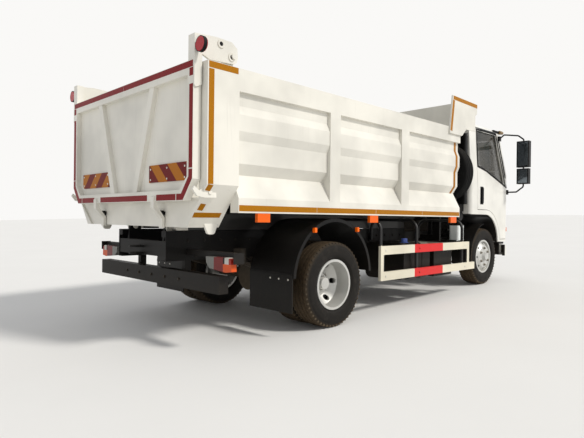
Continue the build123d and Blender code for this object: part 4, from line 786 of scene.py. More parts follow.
def bolt_shape(across, height, washer=True):
    """A hexagon head on its washer, standing on its own origin."""
    bm = bmesh.new()
    if washer:
        lathe(bm, [(0, across * 0.72), (height * 0.25, across * 0.72)], (0, 0, 0), (0, 0, 1), 14)
    lathe(bm, [(height * 0.2, across * 0.56), (height * 0.85, across * 0.56), (height, across * 0.44)],
          (0, 0, 0), (0, 0, 1), 6)
    return bm


def rivet_shape(radius, height):
    """A round head, standing on its own origin."""
    bm = bmesh.new()
    lathe(bm, [(0, radius), (height * 0.5, radius * 0.9), (height * 0.85, radius * 0.6), (height, radius * 0.2)],
          (0, 0, 0), (0, 0, 1), 12)
    return bm


# What can be set

class TruckFinish(bpy.types.PropertyGroup):
    """How worn the truck looks"""

    dust: FloatProperty(name="Dust", description="Amount of dust on every surface", default=1.0, min=0, max=2)
    rust: FloatProperty(name="Rust", description="Amount of rust on bare edges", default=1.0, min=0, max=2)


class TruckTyres(bpy.types.PropertyGroup):
    """Tread of the tyres"""

    groove: FloatProperty(
        name="Groove depth", description="Depth of the tread grooves", default=0.011, unit="LENGTH"
    )
    zigzag: FloatProperty(
        name="Zigzag", description="How far the grooves swing to each side", default=0.004, unit="LENGTH"
    )
    steps: IntProperty(name="Zigzag steps", description="Half waves round the tyre", default=108, min=24, max=180)
    lugs: IntProperty(name="Shoulder lugs", description="Lugs round each shoulder", default=54, min=12, max=90)


class TruckTape(bpy.types.PropertyGroup):
    """Reflective tape"""

    width: FloatProperty(name="Width", description="Width of the tape", default=0.047, unit="LENGTH")
    height: FloatProperty(name="Thickness", description="Thickness of the tape", default=0.0008, unit="LENGTH")
    length: FloatProperty(name="Length", description="Longest single piece", default=0.95, unit="LENGTH")
    gap: FloatProperty(name="Gap", description="Gap between pieces", default=0.004, unit="LENGTH")


class TruckStage(bpy.types.PropertyGroup):
    """Floor and light"""

    floor: FloatProperty(name="Floor", description="Half width of the floor", default=60.0, unit="LENGTH")
    sun: FloatProperty(name="Sun", description="Strength of the soft sun", default=2.3)
    sky: FloatProperty(name="Sky", description="Strength of the light from all round", default=0.62)


# Finishes of the CAD nodes, then the pieces

NODE_FINISHES = {
    "bed_paint": ("bed_floor", "bed_headboard", "bed_side_left", "bed_side_right", "rear_posts", "tailgate"),
    "cab_paint": ("cab_shell", "door_left", "door_right"),
    "frame_paint": ("ladder_frame", "spare_carrier", "underride_beam", "hoist_barrel"),
    "steel": ("axles", "leaf_springs", "steering_knuckle_left", "steering_knuckle_right", "tie_rod", "engine"),
    "rod_steel": ("hoist_rod",),
    "rim_paint": ("front_rim_left", "front_rim_right", "rear_rims_left", "rear_rims_right"),
    "guard_paint": ("side_guards",),
    "tank_paint": ("tanks_and_battery_box",),
    "rubber": ("front_tyre_left", "front_tyre_right", "rear_tyres_left", "rear_tyres_right", "spare_wheel"),
    "black_plastic": ("mirrors", "grille", "fenders", "air_intake", "dashboard"),
    "bumper_plastic": ("bumper",),
    "lamp_housing": ("chassis_lamps",),
    "headlamp": ("headlamps",),
    "lamp_amber": ("side_markers",),
    "lamp_red": ("gate_lamps",),
    "window_glass": ("cab_glass", "door_glass_left", "door_glass_right"),
    "seat_cloth": ("seats",),
}


class TRUCK_OT_finishes(bpy.types.Operator):
    """Gives every node of the frame its finish"""

    bl_idname = "truck.finishes"
    bl_label = "Finishes"

    def execute(self, context):
        left = set(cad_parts)
        for name, nodes in NODE_FINISHES.items():
            made = finish(name)
            for node in nodes:
                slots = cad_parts[node].material_slots
                if not slots:
                    raise RuntimeError(f"{node} has no material slot")
                for place in slots:
                    place.material = made
                left.discard(node)
        if left:
            raise RuntimeError(f"no finish for {sorted(left)}")
        return {"FINISHED"}


# Half the tyre's outline from the bead to the tread, as (out from its middle, radius)
TYRE_WALL = (
    (88, 224), (89, 236), (97, 244), (104, 250), (110, 262), (112.5, 264), (114, 268), (116.5, 290),
    (117.2, 312), (116.6, 316), (117.0, 320), (115.6, 338), (112.8, 352), (111.0, 354), (110.2, 360),
    (107.0, 372), (102.0, 383), (96.0, 391), (88.0, 396),
)
GROOVES = (66, 25)
GROOVE_HALF = 5
GROOVE_SLOPE = 1.5
# Fall of the tread for each square millimetre out from its middle
CROWN = 0.0004
# Lugs: out from the tyre's middle, and below its radius
SHOULDER_OUT = 97
SHOULDER_DEEP = 12


def tyre_profile(groove):
    """(along, radius, is tread, swing) from one bead over the tread to the other, and back inside."""
    half = [(along, radius, max(0.0, (radius - 365) / 35) * 0.8, 0.0) for along, radius in TYRE_WALL]
    for middle in GROOVES:
        edge = middle + GROOVE_HALF
        far = middle - GROOVE_HALF
        crown = TYRE_R - CROWN * middle * middle
        half.append((edge, crown, 0.75, 1.0))
        half.append((edge - GROOVE_SLOPE, crown - groove, 1.0, 1.0))
        half.append((far + GROOVE_SLOPE, crown - groove, 1.0, 1.0))
        half.append((far, crown, 0.75, 1.0))
    mirror = [(-along, radius, tread, swing) for along, radius, tread, swing in reversed(half)]
    inside = [(-84, 226, 0.2, 0.0), (0, 228, 0.2, 0.0), (84, 226, 0.2, 0.0)]
    return half + mirror + inside + [half[0]]


def tyre(centre, settings, bm=None):
    """One tyre about the Y axis, in a new bmesh or beside the one that is there."""
    bm = bm or bmesh.new()
    layer = bm.verts.layers.float.get("tread") or bm.verts.layers.float.new("tread")
    profile = tyre_profile(settings.groove * 1000)
    outline = [(along, radius) for along, radius, _, _ in profile]
    swing = [settings.zigzag * 1000 * part for _, _, _, part in profile]
    tread = [part for _, _, part, _ in profile]
    turned(bm, outline, centre, (0, 1, 0), settings.steps, swing, (layer, tread))
    return bm


class TRUCK_OT_tyres(bpy.types.Operator):
    """Tyres with grooved tread and ribbed walls, and lugs on their shoulders"""

    bl_idname = "truck.tyres"
    bl_label = "Tyres"

    def execute(self, context):
        settings = context.scene.truck_tyres
        shoulders = []
        for end, many, x, stations in WHEELS:
            for label, side in SIDES:
                name, body = f"tyre{many}_{end}_{label}", f"{end}_wheel{many}_{label}"
                bm = None
                for number, y in enumerate(stations):
                    bm = tyre((x, side * y, TYRE_R), settings, bm)
                    shoulders.append((f"{name}_lugs_{number}", body, x, side * y))
                made = piece(name, bm, "tyre_rubber", body, GROUND, 38)
                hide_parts(f"{end}_tyre{many}_{label}")
        bm = tyre((0, 0, 0), settings)
        bmesh.ops.transform(bm, matrix=SPARE_PLACE, verts=bm.verts)
        made = piece("tyre_spare", bm, "rubber", "chassis", SPRUNG, 38)
        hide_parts("spare_wheel")
        for name, body, x, y in shoulders:
            for label, side in (("in", -1), ("out", 1)):
                bm = bmesh.new()
                slab(bm, (-18, -7.5, -9), (6, 7.5, 8))
                soften(bm, 1.5)
                place = GROUND @ Matrix.Translation((x, y + side * SHOULDER_OUT, TYRE_R))
                repeat_round(f"{name}_{label}", bm, settings.lugs, TYRE_R - SHOULDER_DEEP, "lug_rubber", body,
                             place @ Matrix.Rotation(QUARTER, 4, "X"))
        return {"FINISHED"}


STUDS = 6
STUD_RING = {"front": 118, "rear": 112}
# Spare rim: (out from its middle, radius) from the hub's bore round the barrel and back
SPARE_RIM = (
    (-70, 92), (-82, 96), (-86, 118), (-84, 150), (-60, 178), (-38, 196), (-30, 206), (60, 208), (88, 214), (90, 228),
    (98, 234), (98, 222), (92, 216), (-88, 216), (-92, 222), (-98, 234), (-98, 228), (-92, 212), (-40, 210),
    (-46, 196), (-66, 176), (-92, 150), (-94, 118), (-88, 92),
)


def on_wheel(node, side, x, forward, up):
    """Where a ring of bolts stands on a rim, level with the face at a point beside its middle."""
    face = resting(node, (x + forward, side * 1400, TYRE_R + up), (0, -side, 0), stance=GROUND)
    return GROUND @ Matrix.Translation((x, face.y, TYRE_R)) @ Matrix.Rotation(-QUARTER * side, 4, "X")


class TRUCK_OT_wheels(bpy.types.Operator):
    """Studs on the wheels, and the spare's rim"""

    bl_idname = "truck.wheels"
    bl_label = "Wheels"

    def execute(self, context):
        step = math.pi / STUDS
        for end, many, x, _ in WHEELS:
            radius = STUD_RING[end]
            for label, side in SIDES:
                place = on_wheel(f"{end}_rim{many}_{label}", side, x, radius * math.cos(step),
                                 radius * math.sin(step))
                repeat_round(f"{end}_nuts_{label}", bolt_shape(25, 24), STUDS, radius, "bolt_steel",
                             f"{end}_wheel{many}_{label}", place @ Matrix.Rotation(step, 4, "Z"))
        bm = bmesh.new()
        turned(bm, (*SPARE_RIM, SPARE_RIM[0]), (0, 0, 0), (0, 1, 0), 64)
        bmesh.ops.transform(bm, matrix=SPARE_PLACE, verts=bm.verts)
        piece("spare_rim", bm, "rim_paint", "chassis", merge=True)
        return {"FINISHED"}


def runs(start, end, settings):
    """(start, end) of each piece of tape on a straight run."""
    gap = settings.gap * 1000
    count = max(1, round((end - start) / (settings.length * 1000)))
    step = (end - start) / count
    return [(start + i * step, start + (i + 1) * step - gap) for i in range(count)]


def strip(bm, path, out, settings, extra=0):
    """A strip of tape along a path."""
    sweep(bm, path, flat(settings.width * 1000 + extra, settings.height * 1000), out)


SILL_TAPE_Z = 1087
# (x, z) of the two ends of each strip
CHEEK_TAPES = (((2082, 2502), (2716, 2490)), ((2036, 2094), (2094, 2472)))
FOOT_TAPES = (((-1464, 1252), (-1472, 1208)), ((-1452, 1114), (-1460, 1066)))
FOOT_LOW_TAPE = ((-1494, 1031), (-1245, 1031))


class TRUCK_OT_tape(bpy.types.Operator):
    """Amber tape on the sills, posts, panel edges, cheeks and post feet"""

    bl_idname = "truck.tape"
    bl_label = "Tape"

    def execute(self, context):
        settings = context.scene.truck_tape
        for label, side in SIDES:
            out = (0, side, 0)
            bm = bmesh.new()
            face = side * (BODY_HALF + 0.2)
            for start, end in runs(POST_FRONT + 6, BODY_FRONT - 4, settings):
                strip(bm, [(start, face, SILL_TAPE_Z), (end, face, SILL_TAPE_Z)], out, settings)
            x = BODY_REAR + 10 + settings.width * 1000 / 2
            for start, end in runs(1256, BODY_TOP - 52, settings):
                strip(bm, [(x, face, start), (x, face, end)], out, settings)
            z = BODY_TOP - 26
            strip(bm, [(BODY_REAR + 10, face, z), (POST_FRONT - 14, face, z)], out, settings)
            piece(f"tape_sill_and_post_{label}", bm, "tape_amber", "bed")
            bm = bmesh.new()
            path = [(2230, side * (y + 0.6), z) for y, z in PANEL]
            ways = []
            for before, after in zip([path[0], *path], [*path[1:], path[-1]]):
                way = (Vector(after) - Vector(before)).normalized().cross(Vector((1, 0, 0)))
                ways.append(way if way.y * side > 0 else -way)
            strip(bm, path, ways, settings)
            for line in CHEEK_TAPES:
                strip(bm, [beside("bed_headboard", side, x, z, 0.3) for x, z in line], out, settings)
            piece(f"tape_panel_{label}", bm, "tape_amber", "bed")
            bm = bmesh.new()
            for line in FOOT_TAPES:
                path = [beside("rear_posts", side, x, z, 0.4) for x, z in line]
                strip(bm, path, (0, side * 0.95, -0.3), settings, 6)
            path = [beside("rear_posts", side, x, z, 0.4) for x, z in FOOT_LOW_TAPE]
            strip(bm, path, (0, side * 0.79, -0.62), settings)
            piece(f"tape_post_foot_{label}", bm, "tape_amber", "bed")
        return {"FINISHED"}


GATE_TOP = 2149
GATE_TAPE_LOW = 1164
PLATE_REAR = -1541
PLATE_FRONT = -1532.5
# (y, z) outlines of the striped plates
PLATES = (
    ("right", ((-400, 1428), (-952, 1428), (-952, 1316), (-925, 1289), (-400, 1289))),
    ("left", ((339, 1420), (915, 1420), (915, 1310), (890, 1283), (339, 1283))),
)
# (x, z) of the bosses on each arm
ARM_BOSSES = ((-1342, 2310), (-1242, 2232))
# Low and high y of each catch, where black blocks paint the shade of its pin and gap
CATCHES = ((-560, -458), (504, 592))


class TRUCK_OT_gate_trim(bpy.types.Operator):
    """Red tape and striped plates of the tailgate, its arms' lamp rims and bosses, and black blocks at the apron's
    catches that paint the shade of their pins and gaps
    """

    bl_idname = "truck.gate_trim"
    bl_label = "Tailgate trim"

    def execute(self, context):
        settings = context.scene.truck_tape
        wide = settings.width * 1000
        face = GATE_REAR - 0.2
        out = (-1, 0, 0)
        bm = bmesh.new()
        z = GATE_TOP - wide / 2 - 3
        lines = [((start, z), (end, z)) for start, end in runs(-1072, 1072, settings)]
        for side in (-1, 1):
            y = side * (1078 - wide / 2 - 3)
            lines += [((y, 1372), (y, 1977)), ((y, 2036), (y, GATE_TOP - wide - 8))]
            lines.append(((side * 868, GATE_TAPE_LOW), (side * 943, GATE_TAPE_LOW),
                          (side * 1051, 1303), (y, 1364)))
        lines += [((start, GATE_TAPE_LOW), (end, GATE_TAPE_LOW))
                  for start, end in ((-430, 440), (-856, -575), (575, 856))]
        for line in lines:
            strip(bm, [(face, *point) for point in line], out, settings)
        piece("tape_gate", bm, "tape_red", "tailgate")
        screws = []
        for label, outline in PLATES:
            bm = bmesh.new()
            prism(bm, outline, PLATE_REAR, PLATE_FRONT)
            soften(bm, 1.2)
            piece(f"striped_plate_{label}", bm, f"plate_{label}", "tailgate")
            low, high = min(y for y, _ in outline), max(y for y, _ in outline)
            for y in (low + 24, (low + high) / 2, high - 24):
                screws += [(PLATE_REAR, y, z) for z in (1312, 1396)]
        repeat_at("plate_screws", rivet_shape(8, 4), 4, "white_screw", "tailgate", screws, (1, 0, 0))
        rims, bosses, centres = bmesh.new(), bmesh.new(), bmesh.new()
        for side in (-1, 1):
            ring = [(0, 53), (0, 57), (26, 57), (26, 53), (0, 53)]
            turned(rims, ring, (GATE_REAR + 4, side * 1148, 2244), (1, 0, 0), 40)
            for x, z in ARM_BOSSES:
                spot = (x, resting("tailgate", (x + 30, side * 1400, z - 8), (0, -side, 0)).y, z)
                turned(bosses, [(-1, 16), (7, 17), (8, 30), (-1, 32), (-1, 16)], spot, (0, side, 0), 28)
                lathe(centres, [(-1, 15.6), (3, 15.6), (4, 9)], spot, (0, side, 0), 20)
        piece("gate_lamp_rims", rims, "soft_black", "tailgate", merge=True)
        piece("arm_bosses", bosses, "gate_boss", "tailgate", merge=True)
        black("arm_boss_centres", centres, "tailgate")
        # painted shade: the catches are made as black blocks, their black standing in for the shade of their pins and
        # gaps
        bm = bmesh.new()
        for low, high in CATCHES:
            x = resting("bed_floor", (-1800, (low + high) / 2, 1044), (1, 0, 0)).x
            slab(bm, (x - 26, low, 1030), (x, high, 1058))
            slab(bm, (x - 34, low + 22, 1022), (x, low + 44, 1066))
            slab(bm, (x - 34, high - 30, 1026), (x, high - 12, 1062))
        soften(bm, 3)
        black("apron_catches", bm, "bed")
        return {"FINISHED"}


DOOR_WINDOW = ((3168, 1772), (3168, 2268), (3772, 2268), (4040, 1535), (3430, 1735))
SCREEN = ((-880, 2235), (880, 2235), (940, 1530), (-940, 1530))
REAR_WINDOW = ((-560, 2080), (560, 2080), (560, 1640), (-560, 1640))
# Mirror heads: middle z, height, inner and outer y
MIRROR_X = 4100
MIRROR_HEADS = ((2005, 390, 1142, 1320), (1676, 230, 1146, 1316))
VENTS = (520, 548, 576, 604)
# Wipers: y of the foot and of the blade's tip
WIPERS = ((-620, -60), (120, 700))


def densified(outline, longest):
    """The outline with points added so that no side is longer than that."""
    made = []
    for i, first in enumerate(outline):
        last = outline[(i + 1) % len(outline)]
        steps = max(1, math.ceil(math.dist(first, last) / longest))
        for step in range(steps):
            share = step / steps
            made.append(tuple(first[k] + (last[k] - first[k]) * share for k in range(2)))
    return made


def window_seal(bm, node, outline, wide, lay, way):
    """A rubber seal round a window: lay puts an outline point in space, way is the line of sight to the face."""
    middle = [sum(point[k] for point in outline) / len(outline) for k in range(2)]
    path = []
    for a, b in densified(outline, 140):
        grow = 1 + (6 + wide / 2) / math.dist((a, b), middle)
        start = lay(middle[0] + (a - middle[0]) * grow, middle[1] + (b - middle[1]) * grow)
        spot = surface(node, start, way)
        if spot is not None:
            path.append(spot)
    if len(path) < 6:
        raise RuntimeError(f"{node} has no face round its window")
    sweep(bm, path, flat(wide, 4), tuple(-part for part in way), closed=True)


def front_lamps(node, body, lamps):
    """Bezels and bulb covers on a node's front face: (y out, z, radius) of each, on both sides."""
    rings, bulbs = bmesh.new(), bmesh.new()
    for side in (-1, 1):
        for y, z, radius in lamps:
            spot = ahead(node, side * y, z)
            ring = [(-2, radius), (2.2, radius), (2.2, radius + 6), (-2, radius + 6), (-2, radius)]
            turned(rings, ring, spot, (1, 0, 0), 36)
            cover = [(-2, radius - 1), (0.5, radius - 1), (1.8, radius * 0.6), (2.4, radius * 0.2)]
            lathe(bulbs, cover, spot, (1, 0, 0), 28)
    piece(f"{node}_bezels", rings, "chrome", body, merge=True)
    piece(f"{node}_bulbs", bulbs, "lamp_clear", body)


class TRUCK_OT_cab_trim(bpy.types.Operator):
    """Seals, pillar trim, handles, roof lamps, indicators, mirrors, front lamps, vents, wipers, sun band"""

    bl_idname = "truck.cab_trim"
    bl_label = "Cab trim"

    def execute(self, context):
        for label, side in SIDES:
            body = f"door_{label}"
            bm = bmesh.new()
            window_seal(bm, body, DOOR_WINDOW, 26, lambda a, b: (a, side * BESIDE, b), (0, -side, 0))
            black(f"window_seal_{label}", bm, body)
            path = [beside("cab_shell", side, 3856 + 262 * part, 2262 - 762 * part)
                    for part in (0.02, 0.25, 0.5, 0.75, 1)]
            bm = bmesh.new()
            sweep(bm, path, flat(36, 2.5), (0, side, 0))
            black(f"pillar_trim_{label}", bm, "cab")
            y = side * beside(body, side, 3252, 1360).y
            bm = bmesh.new()
            side_slab(bm, side, (3206, y, 1236), (3302, y + 3, 1484))
            soften(bm, 1.4)
            side_slab(bm, side, (3232, y + 6, 1256), (3278, y + 20, 1464))
            for z in (1264, 1448):
                side_slab(bm, side, (3240, y, z - 6), (3266, y + 12, z + 8))
            black(f"door_handle_{label}", bm, body)
            bm, glass = bmesh.new(), bmesh.new()
            side_slab(bm, side, (3716, 900, 2322), (3912, 956, 2346))
            soften(bm, 5, 2)
            side_slab(glass, side, (3906, 905, 2310), (4030, 974, 2356))
            soften(glass, 11, 3)
            black(f"roof_lamp_base_{label}", bm, "cab")
            piece(f"roof_lamp_{label}", glass, "lamp_olive", "cab")
            bm = bmesh.new()
            y = side * beside("cab_shell", side, 4150, 880).y
            side_slab(bm, side, (4126, y - 4, 846), (4178, y + 8, 912))
            soften(bm, 4, 2)
            piece(f"cab_indicator_{label}", bm, "lamp_amber", "cab")
        bm, glass = bmesh.new(), bmesh.new()
        for side in (-1, 1):
            for middle, height, inner, outer in MIRROR_HEADS:
                near, far = sorted((side * inner, side * outer))
                low, high = middle - height / 2, middle + height / 2
                slab(glass, (MIRROR_X - 3, near + 14, low + 14), (MIRROR_X, far - 14, high - 14))
                corners = ((near + 8, low + 8), (far - 8, low + 8), (far - 8, high - 8), (near + 8, high - 8))
                sweep(bm, [(MIRROR_X, *corner) for corner in corners], flat(14, 7), (-1, 0, 0), closed=True)
        soften(glass, 1.2)
        piece("mirror_frames", bm, "black_plastic", "cab")
        piece("mirror_glasses", glass, "mirror_glass", "cab")
        bm = bmesh.new()
        window_seal(bm, "cab_shell", SCREEN, 30, lambda a, b: (BEFORE, a, b), (-1, 0, 0))
        window_seal(bm, "cab_shell", REAR_WINDOW, 26, lambda a, b: (2600, a, b), (1, 0, 0))
        black("window_seals_front_rear", bm, "cab")
        vents = bmesh.new()
        front_lamps("headlamps", "cab", ((752, 948, 58), (888, 950, 40)))
        front_lamps("bumper", "chassis", ((800, 560, 46),))
        for z in VENTS:
            sweep(vents, [ahead("bumper", y, z) for y in (-420, 420)], flat(14, 1.0), (1, 0, 0))
        black("bumper_vents", vents, "chassis")
        bm = bmesh.new()
        for y, tip in WIPERS:
            foot = ahead("cab_shell", y, 1470)
            points = [ahead("cab_glass", y + (tip - y) * part, 1560 + 190 * part, 14)
                      for part in (0.35, 0.55, 0.75, 1.0)]
            lathe(bm, [(-2, 20), (16, 18), (22, 10)], foot, (1, 0, 0), 20)
            sweep(bm, [foot + Vector((16, 0, 0)), points[1] + Vector((6, 0, 0))], circle(6, 8))
            sweep(bm, points, circle(5, 8))
        black("wipers", bm, "cab")
        bm = bmesh.new()
        upper, lower = [
            [bm.verts.new(resting("cab_glass", (3700, -830 + 166 * i, z), (1, 0, 0), 1.2)) for i in range(11)]
            for z in (2206, 2096)
        ]
        for i in range(10):
            bm.faces.new((upper[i], upper[i + 1], lower[i + 1], lower[i]))
        bmesh.ops.solidify(bm, geom=list(bm.faces), thickness=0.8)
        piece("sun_band", bm, "sun_film", "cab")
        return {"FINISHED"}


def both_sides(name, node, x, out, z, *rest):
    """Rows of bolts on both sides of the chassis, found by lines of sight from outside."""
    return [(f"{name}_{label}", node, "chassis", (x, side * out, z), (0, -side, 0), *rest)
            for label, side in SIDES]


RAIL_ROW = ((172, 0, 0), 20, 19, 11, "frame_bolt")
GUARD_ROW = ((0, 0, -268), 2, 17, 8)
# Bolts: name, node, body, start of the line of sight, its way, step, count, across, height, finish
ROWS = (
    *both_sides("rail_bolts_high", "ladder_frame", -1180, 900, 812, *RAIL_ROW),
    *both_sides("rail_bolts_low", "ladder_frame", -1094, 900, 676, *RAIL_ROW),
    ("beam_bolts", "underride_beam", "chassis", (-1700, -460, 492), (1, 0, 0),
     (0, 230, 0), 5, 20, 10, "frame_bolt"),
    *both_sides("guard_bolts", "side_guards", 760, 1500, 691, *GUARD_ROW, "white_screw"),
    *both_sides("guard_front_bolts", "side_guards", 2508, 1500, 691, *GUARD_ROW, "white_screw"),
    *both_sides("guard_middle_bolts", "side_guards", 1422, 1500, 691, *GUARD_ROW, "guard_screw"),
    ("headboard_bolts", "bed_headboard", "bed", (1500, -920, 1260), (1, 0, 0),
     (0, 184, 0), 11, 20, 9, "bed_bolt"),
)
# Leaf springs: x of the axle, y out
SPRINGS = ((3460, 390), (0, 505))
# Edges of the leaves: x of the middle, half length, y out, leaves, pitch
LEAVES = ((3448, 540, 390, 4, 11), (-11, 620, 505, 7, 12))
LEAF_HALF = 35
FLAP_RIVETS = (1066, 950, 840)


def spring_faces(x, y):
    """The top and the underside of a leaf spring, each None where there is none."""
    return [surface("leaf_springs", (x, y, z), (0, 0, way)) for z, way in ((900, -1), (200, 1))]


class TRUCK_OT_running_gear(bpy.types.Operator):
    """Bolt rows, spring clips, plates and leaf edges, flap rivets and hub rings"""

    bl_idname = "truck.running_gear"
    bl_label = "Running gear"

    def execute(self, context):
        for name, node, body, start, way, step, count, across, height, finish_name in ROWS:
            spots = [surface(node, [start[k] + step[k] * i for k in range(3)], way) for i in range(count)]
            repeat_at(name, bolt_shape(across, height), len(name), finish_name, body, spots, way)
        clips, plates = bmesh.new(), bmesh.new()
        for x, y in SPRINGS:
            for middle in (-y, y):
                for station in (x - 62, x + 62):
                    top, low = spring_faces(station, middle)
                    path = [(station, middle - 43, low.z - 34), (station, middle - 43, top.z + 8),
                            (station, middle + 43, top.z + 8), (station, middle + 43, low.z - 34)]
                    sweep(clips, path, circle(7, 10))
                top = spring_faces(x, middle)[0]
                slab(plates, (x - 84, middle - 38, top.z - 1), (x + 84, middle + 38, top.z + 13))
        soften(plates, 3)
        piece("spring_clips", clips, "bolt_steel", "chassis")
        piece("spring_plates", plates, "frame_paint", "chassis")
        bm = bmesh.new()
        for middle, half, y, leaves, pitch in LEAVES:
            stations = [middle - half + half * i / 9 for i in range(19)]
            for side in (-1, 1):
                faces = [(x, *spring_faces(x, side * y)) for x in stations]
                for edge in (-LEAF_HALF, LEAF_HALF):
                    way = (0, side * (1 if edge > 0 else -1), 0)
                    for leaf in range(1, leaves):
                        path = [(x, side * (y + edge), top.z - leaf * pitch) for x, top, low in faces
                                if top and low and top.z - leaf * pitch > low.z + 4]
                        if len(path) > 2:
                            sweep(bm, path, flat(2.5, 1.6), way)
        black("spring_leaf_edges", bm, "chassis")
        spots = [surface("fenders", (-1000, side * y, 486), (1, 0, 0)) for side in (-1, 1) for y in FLAP_RIVETS]
        repeat_at("flap_rivets", rivet_shape(9, 5), 2, "white_screw", "chassis", spots, (1, 0, 0))
        for label, side in SIDES:
            place = on_wheel(f"rear_rims_{label}", side, 0, 0, 66)
            repeat_round(f"hub_ring_{label}", bolt_shape(11, 7, False), 12, 66, "bolt_steel",
                         f"rear_wheels_{label}", place)
        return {"FINISHED"}


def cushion(bm, centre, size, channels, lean):
    """A rounded pad, crowned on its faces, with sewn channels across it."""
    before = set(bm.verts)
    made = bmesh.ops.create_cube(bm, size=2.0)["verts"]
    edges = list({edge for vert in made for edge in vert.link_edges})
    bmesh.ops.subdivide_edges(bm, edges=edges, cuts=15, use_grid_fill=True)
    verts = [vert for vert in bm.verts if vert not in before]
    turn = Matrix.Rotation(math.radians(-lean), 3, "Y")
    half = Vector(size) / 2
    long_axis, thin_axis = (2, 0) if size[2] > size[0] else (0, 2)
    power = 5.0
    for vert in verts:
        unit = vert.co.copy()
        unit = unit / sum(abs(part) ** power for part in unit) ** (1 / power)
        across = unit[1]
        along = unit[long_axis]
        crown = 0.86 + 0.14 * (1 - across * across) * (1 - along * along)
        seam = abs(math.sin(across * channels * math.pi / 2))
        dip = 0.06 * math.exp(-((seam / 0.18) ** 2)) if abs(across) < 0.9 else 0
        unit[thin_axis] *= crown - dip
        vert.co = turn @ Vector(unit[i] * half[i] for i in range(3)) + Vector(centre)


class TRUCK_OT_seats(bpy.types.Operator):
    """Cushions and backs with crowned faces and sewn channels"""

    bl_idname = "truck.seats"
    bl_label = "Seats"

    def execute(self, context):
        bm = bmesh.new()
        for middle, half in ((-330, 380), (480, 240)):
            cushion(bm, (3250, middle, 1225), (420, 2 * half - 12, 140), 5, 0)
            cushion(bm, (3110, middle, 1590), (130, 2 * half - 24, 520), 4, 12)
        made = piece("seat_cushions", bm, "seat_cloth", "cab", angle=60, merge=True)
        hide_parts("seats")
        return {"FINISHED"}


# The photograph's camera: place in metres, turns in degrees, lens in mm on a 36 mm sensor
CAMERA_PLACE = (-4.920811, -4.143062, 1.117637)
YAW, PITCH, ROLL = 45.32317, -1.25634, -0.49428
LENS = 30.984
SUN_WAY = (-0.28, 0.72, -0.72)


def sky_light(strength):
    """A world that lights evenly, and is plain and pale to the camera, in gloss and through glass."""
    sky = Shader(bpy.data.worlds.new("sky"))
    rays = sky.add("ShaderNodeLightPath").outputs
    seen = Value(sky, rays["Is Camera Ray"])
    for other in ("Is Glossy Ray", "Is Transmission Ray"):
        seen = seen.math("MAXIMUM", rays[other])
    soft, plain = [
        sky.add("ShaderNodeBackground", None, {"Color": linear(colour), "Strength": level}).outputs[0]
        for colour, level in (((246, 248, 252), strength), ((250, 249, 247), 1.0))
    ]
    both = sky.add("ShaderNodeMixShader", None, {0: seen, 1: soft, 2: plain}).outputs[0]
    sky.add("ShaderNodeOutputWorld", None, {"Surface": both})
    return sky.owner


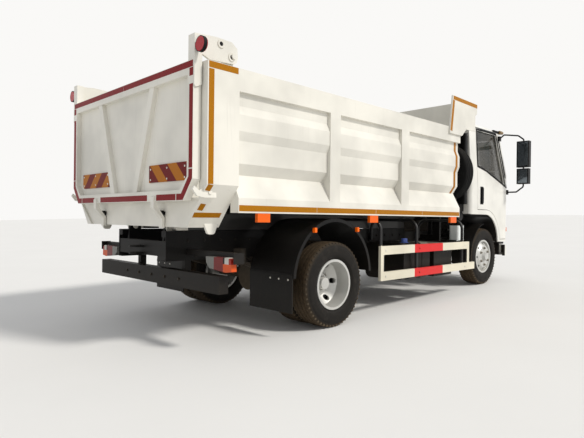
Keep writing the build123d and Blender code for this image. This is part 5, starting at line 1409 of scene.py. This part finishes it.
class TRUCK_OT_stage(bpy.types.Operator):
    """Floor, lights and the photograph's camera"""

    bl_idname = "truck.stage"
    bl_label = "Stage"

    def execute(self, context):
        settings = context.scene.truck_stage
        scene = context.scene
        bm = bmesh.new()
        bmesh.ops.create_grid(bm, x_segments=24, y_segments=24, size=settings.floor)
        mesh = bpy.data.meshes.new("floor")
        bm.to_mesh(mesh)
        bm.free()
        mesh.materials.append(finish("floor"))
        floor = bpy.data.objects.new("floor", mesh)
        scene.collection.objects.link(floor)
        light = bpy.data.lights.new("sun", "SUN")
        light.energy = settings.sun
        light.angle = math.radians(9)
        light.color = (1.0, 0.97, 0.92)
        lamp = bpy.data.objects.new("sun", light)
        lamp.rotation_euler = Vector(SUN_WAY).to_track_quat("-Z", "Y").to_euler()
        scene.collection.objects.link(lamp)
        scene.world = sky_light(settings.sky)
        yaw, pitch, roll = (math.radians(angle) for angle in (YAW, PITCH, ROLL))
        ahead = Vector((math.cos(yaw) * math.cos(pitch), math.sin(yaw) * math.cos(pitch), math.sin(pitch)))
        right = Vector((math.sin(yaw), -math.cos(yaw), 0))
        up = right.cross(ahead)
        side = right * math.cos(roll) + up * math.sin(roll)
        top = up * math.cos(roll) - right * math.sin(roll)
        view = bpy.data.cameras.new("camera")
        view.sensor_width = 36
        view.lens = LENS
        view.clip_end = 200
        camera = bpy.data.objects.new("camera", view)
        turn = Matrix((side, top, -ahead)).transposed().to_4x4()
        camera.matrix_world = Matrix.Translation(CAMERA_PLACE) @ turn
        scene.collection.objects.link(camera)
        scene.camera = camera
        scene.view_settings.view_transform = "Standard"
        return {"FINISHED"}


class TRUCK_PT_panel(bpy.types.Panel):
    """The truck's settings and pieces"""

    bl_idname = "TRUCK_PT_panel"
    bl_label = "Dump truck"
    bl_space_type = "VIEW_3D"
    bl_region_type = "UI"
    bl_category = "Truck"

    def draw(self, context):
        for group in ("truck_finish", "truck_tyres", "truck_tape", "truck_stage"):
            settings = getattr(context.scene, group)
            box = self.layout.box()
            for name in settings.bl_rna.properties.keys():
                if name not in ("rna_type", "name"):
                    box.prop(settings, name)
        for operator in OPERATORS:
            self.layout.operator(operator.bl_idname)


GROUPS = (
    ("truck_finish", TruckFinish),
    ("truck_tyres", TruckTyres),
    ("truck_tape", TruckTape),
    ("truck_stage", TruckStage),
)
OPERATORS = (
    TRUCK_OT_finishes,
    TRUCK_OT_tyres,
    TRUCK_OT_wheels,
    TRUCK_OT_tape,
    TRUCK_OT_gate_trim,
    TRUCK_OT_cab_trim,
    TRUCK_OT_running_gear,
    TRUCK_OT_seats,
    TRUCK_OT_stage,
)


def register():
    """Adds the settings, operators and panel."""
    for name, group in GROUPS:
        bpy.utils.register_class(group)
        setattr(bpy.types.Scene, name, PointerProperty(type=group))
    for operator in OPERATORS:
        bpy.utils.register_class(operator)
    bpy.utils.register_class(TRUCK_PT_panel)


def unregister():
    """Removes them again."""
    bpy.utils.unregister_class(TRUCK_PT_panel)
    for operator in reversed(OPERATORS):
        bpy.utils.unregister_class(operator)
    for name, group in reversed(GROUPS):
        delattr(bpy.types.Scene, name)
        bpy.utils.unregister_class(group)


def build():
    """Makes every piece."""
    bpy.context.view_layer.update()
    register()
    for operator in OPERATORS:
        group, name = operator.bl_idname.split(".")
        if getattr(getattr(bpy.ops, group), name)() != {"FINISHED"}:
            raise RuntimeError(f"{operator.bl_label} did not finish")


if __name__ == "__main__":
    build()
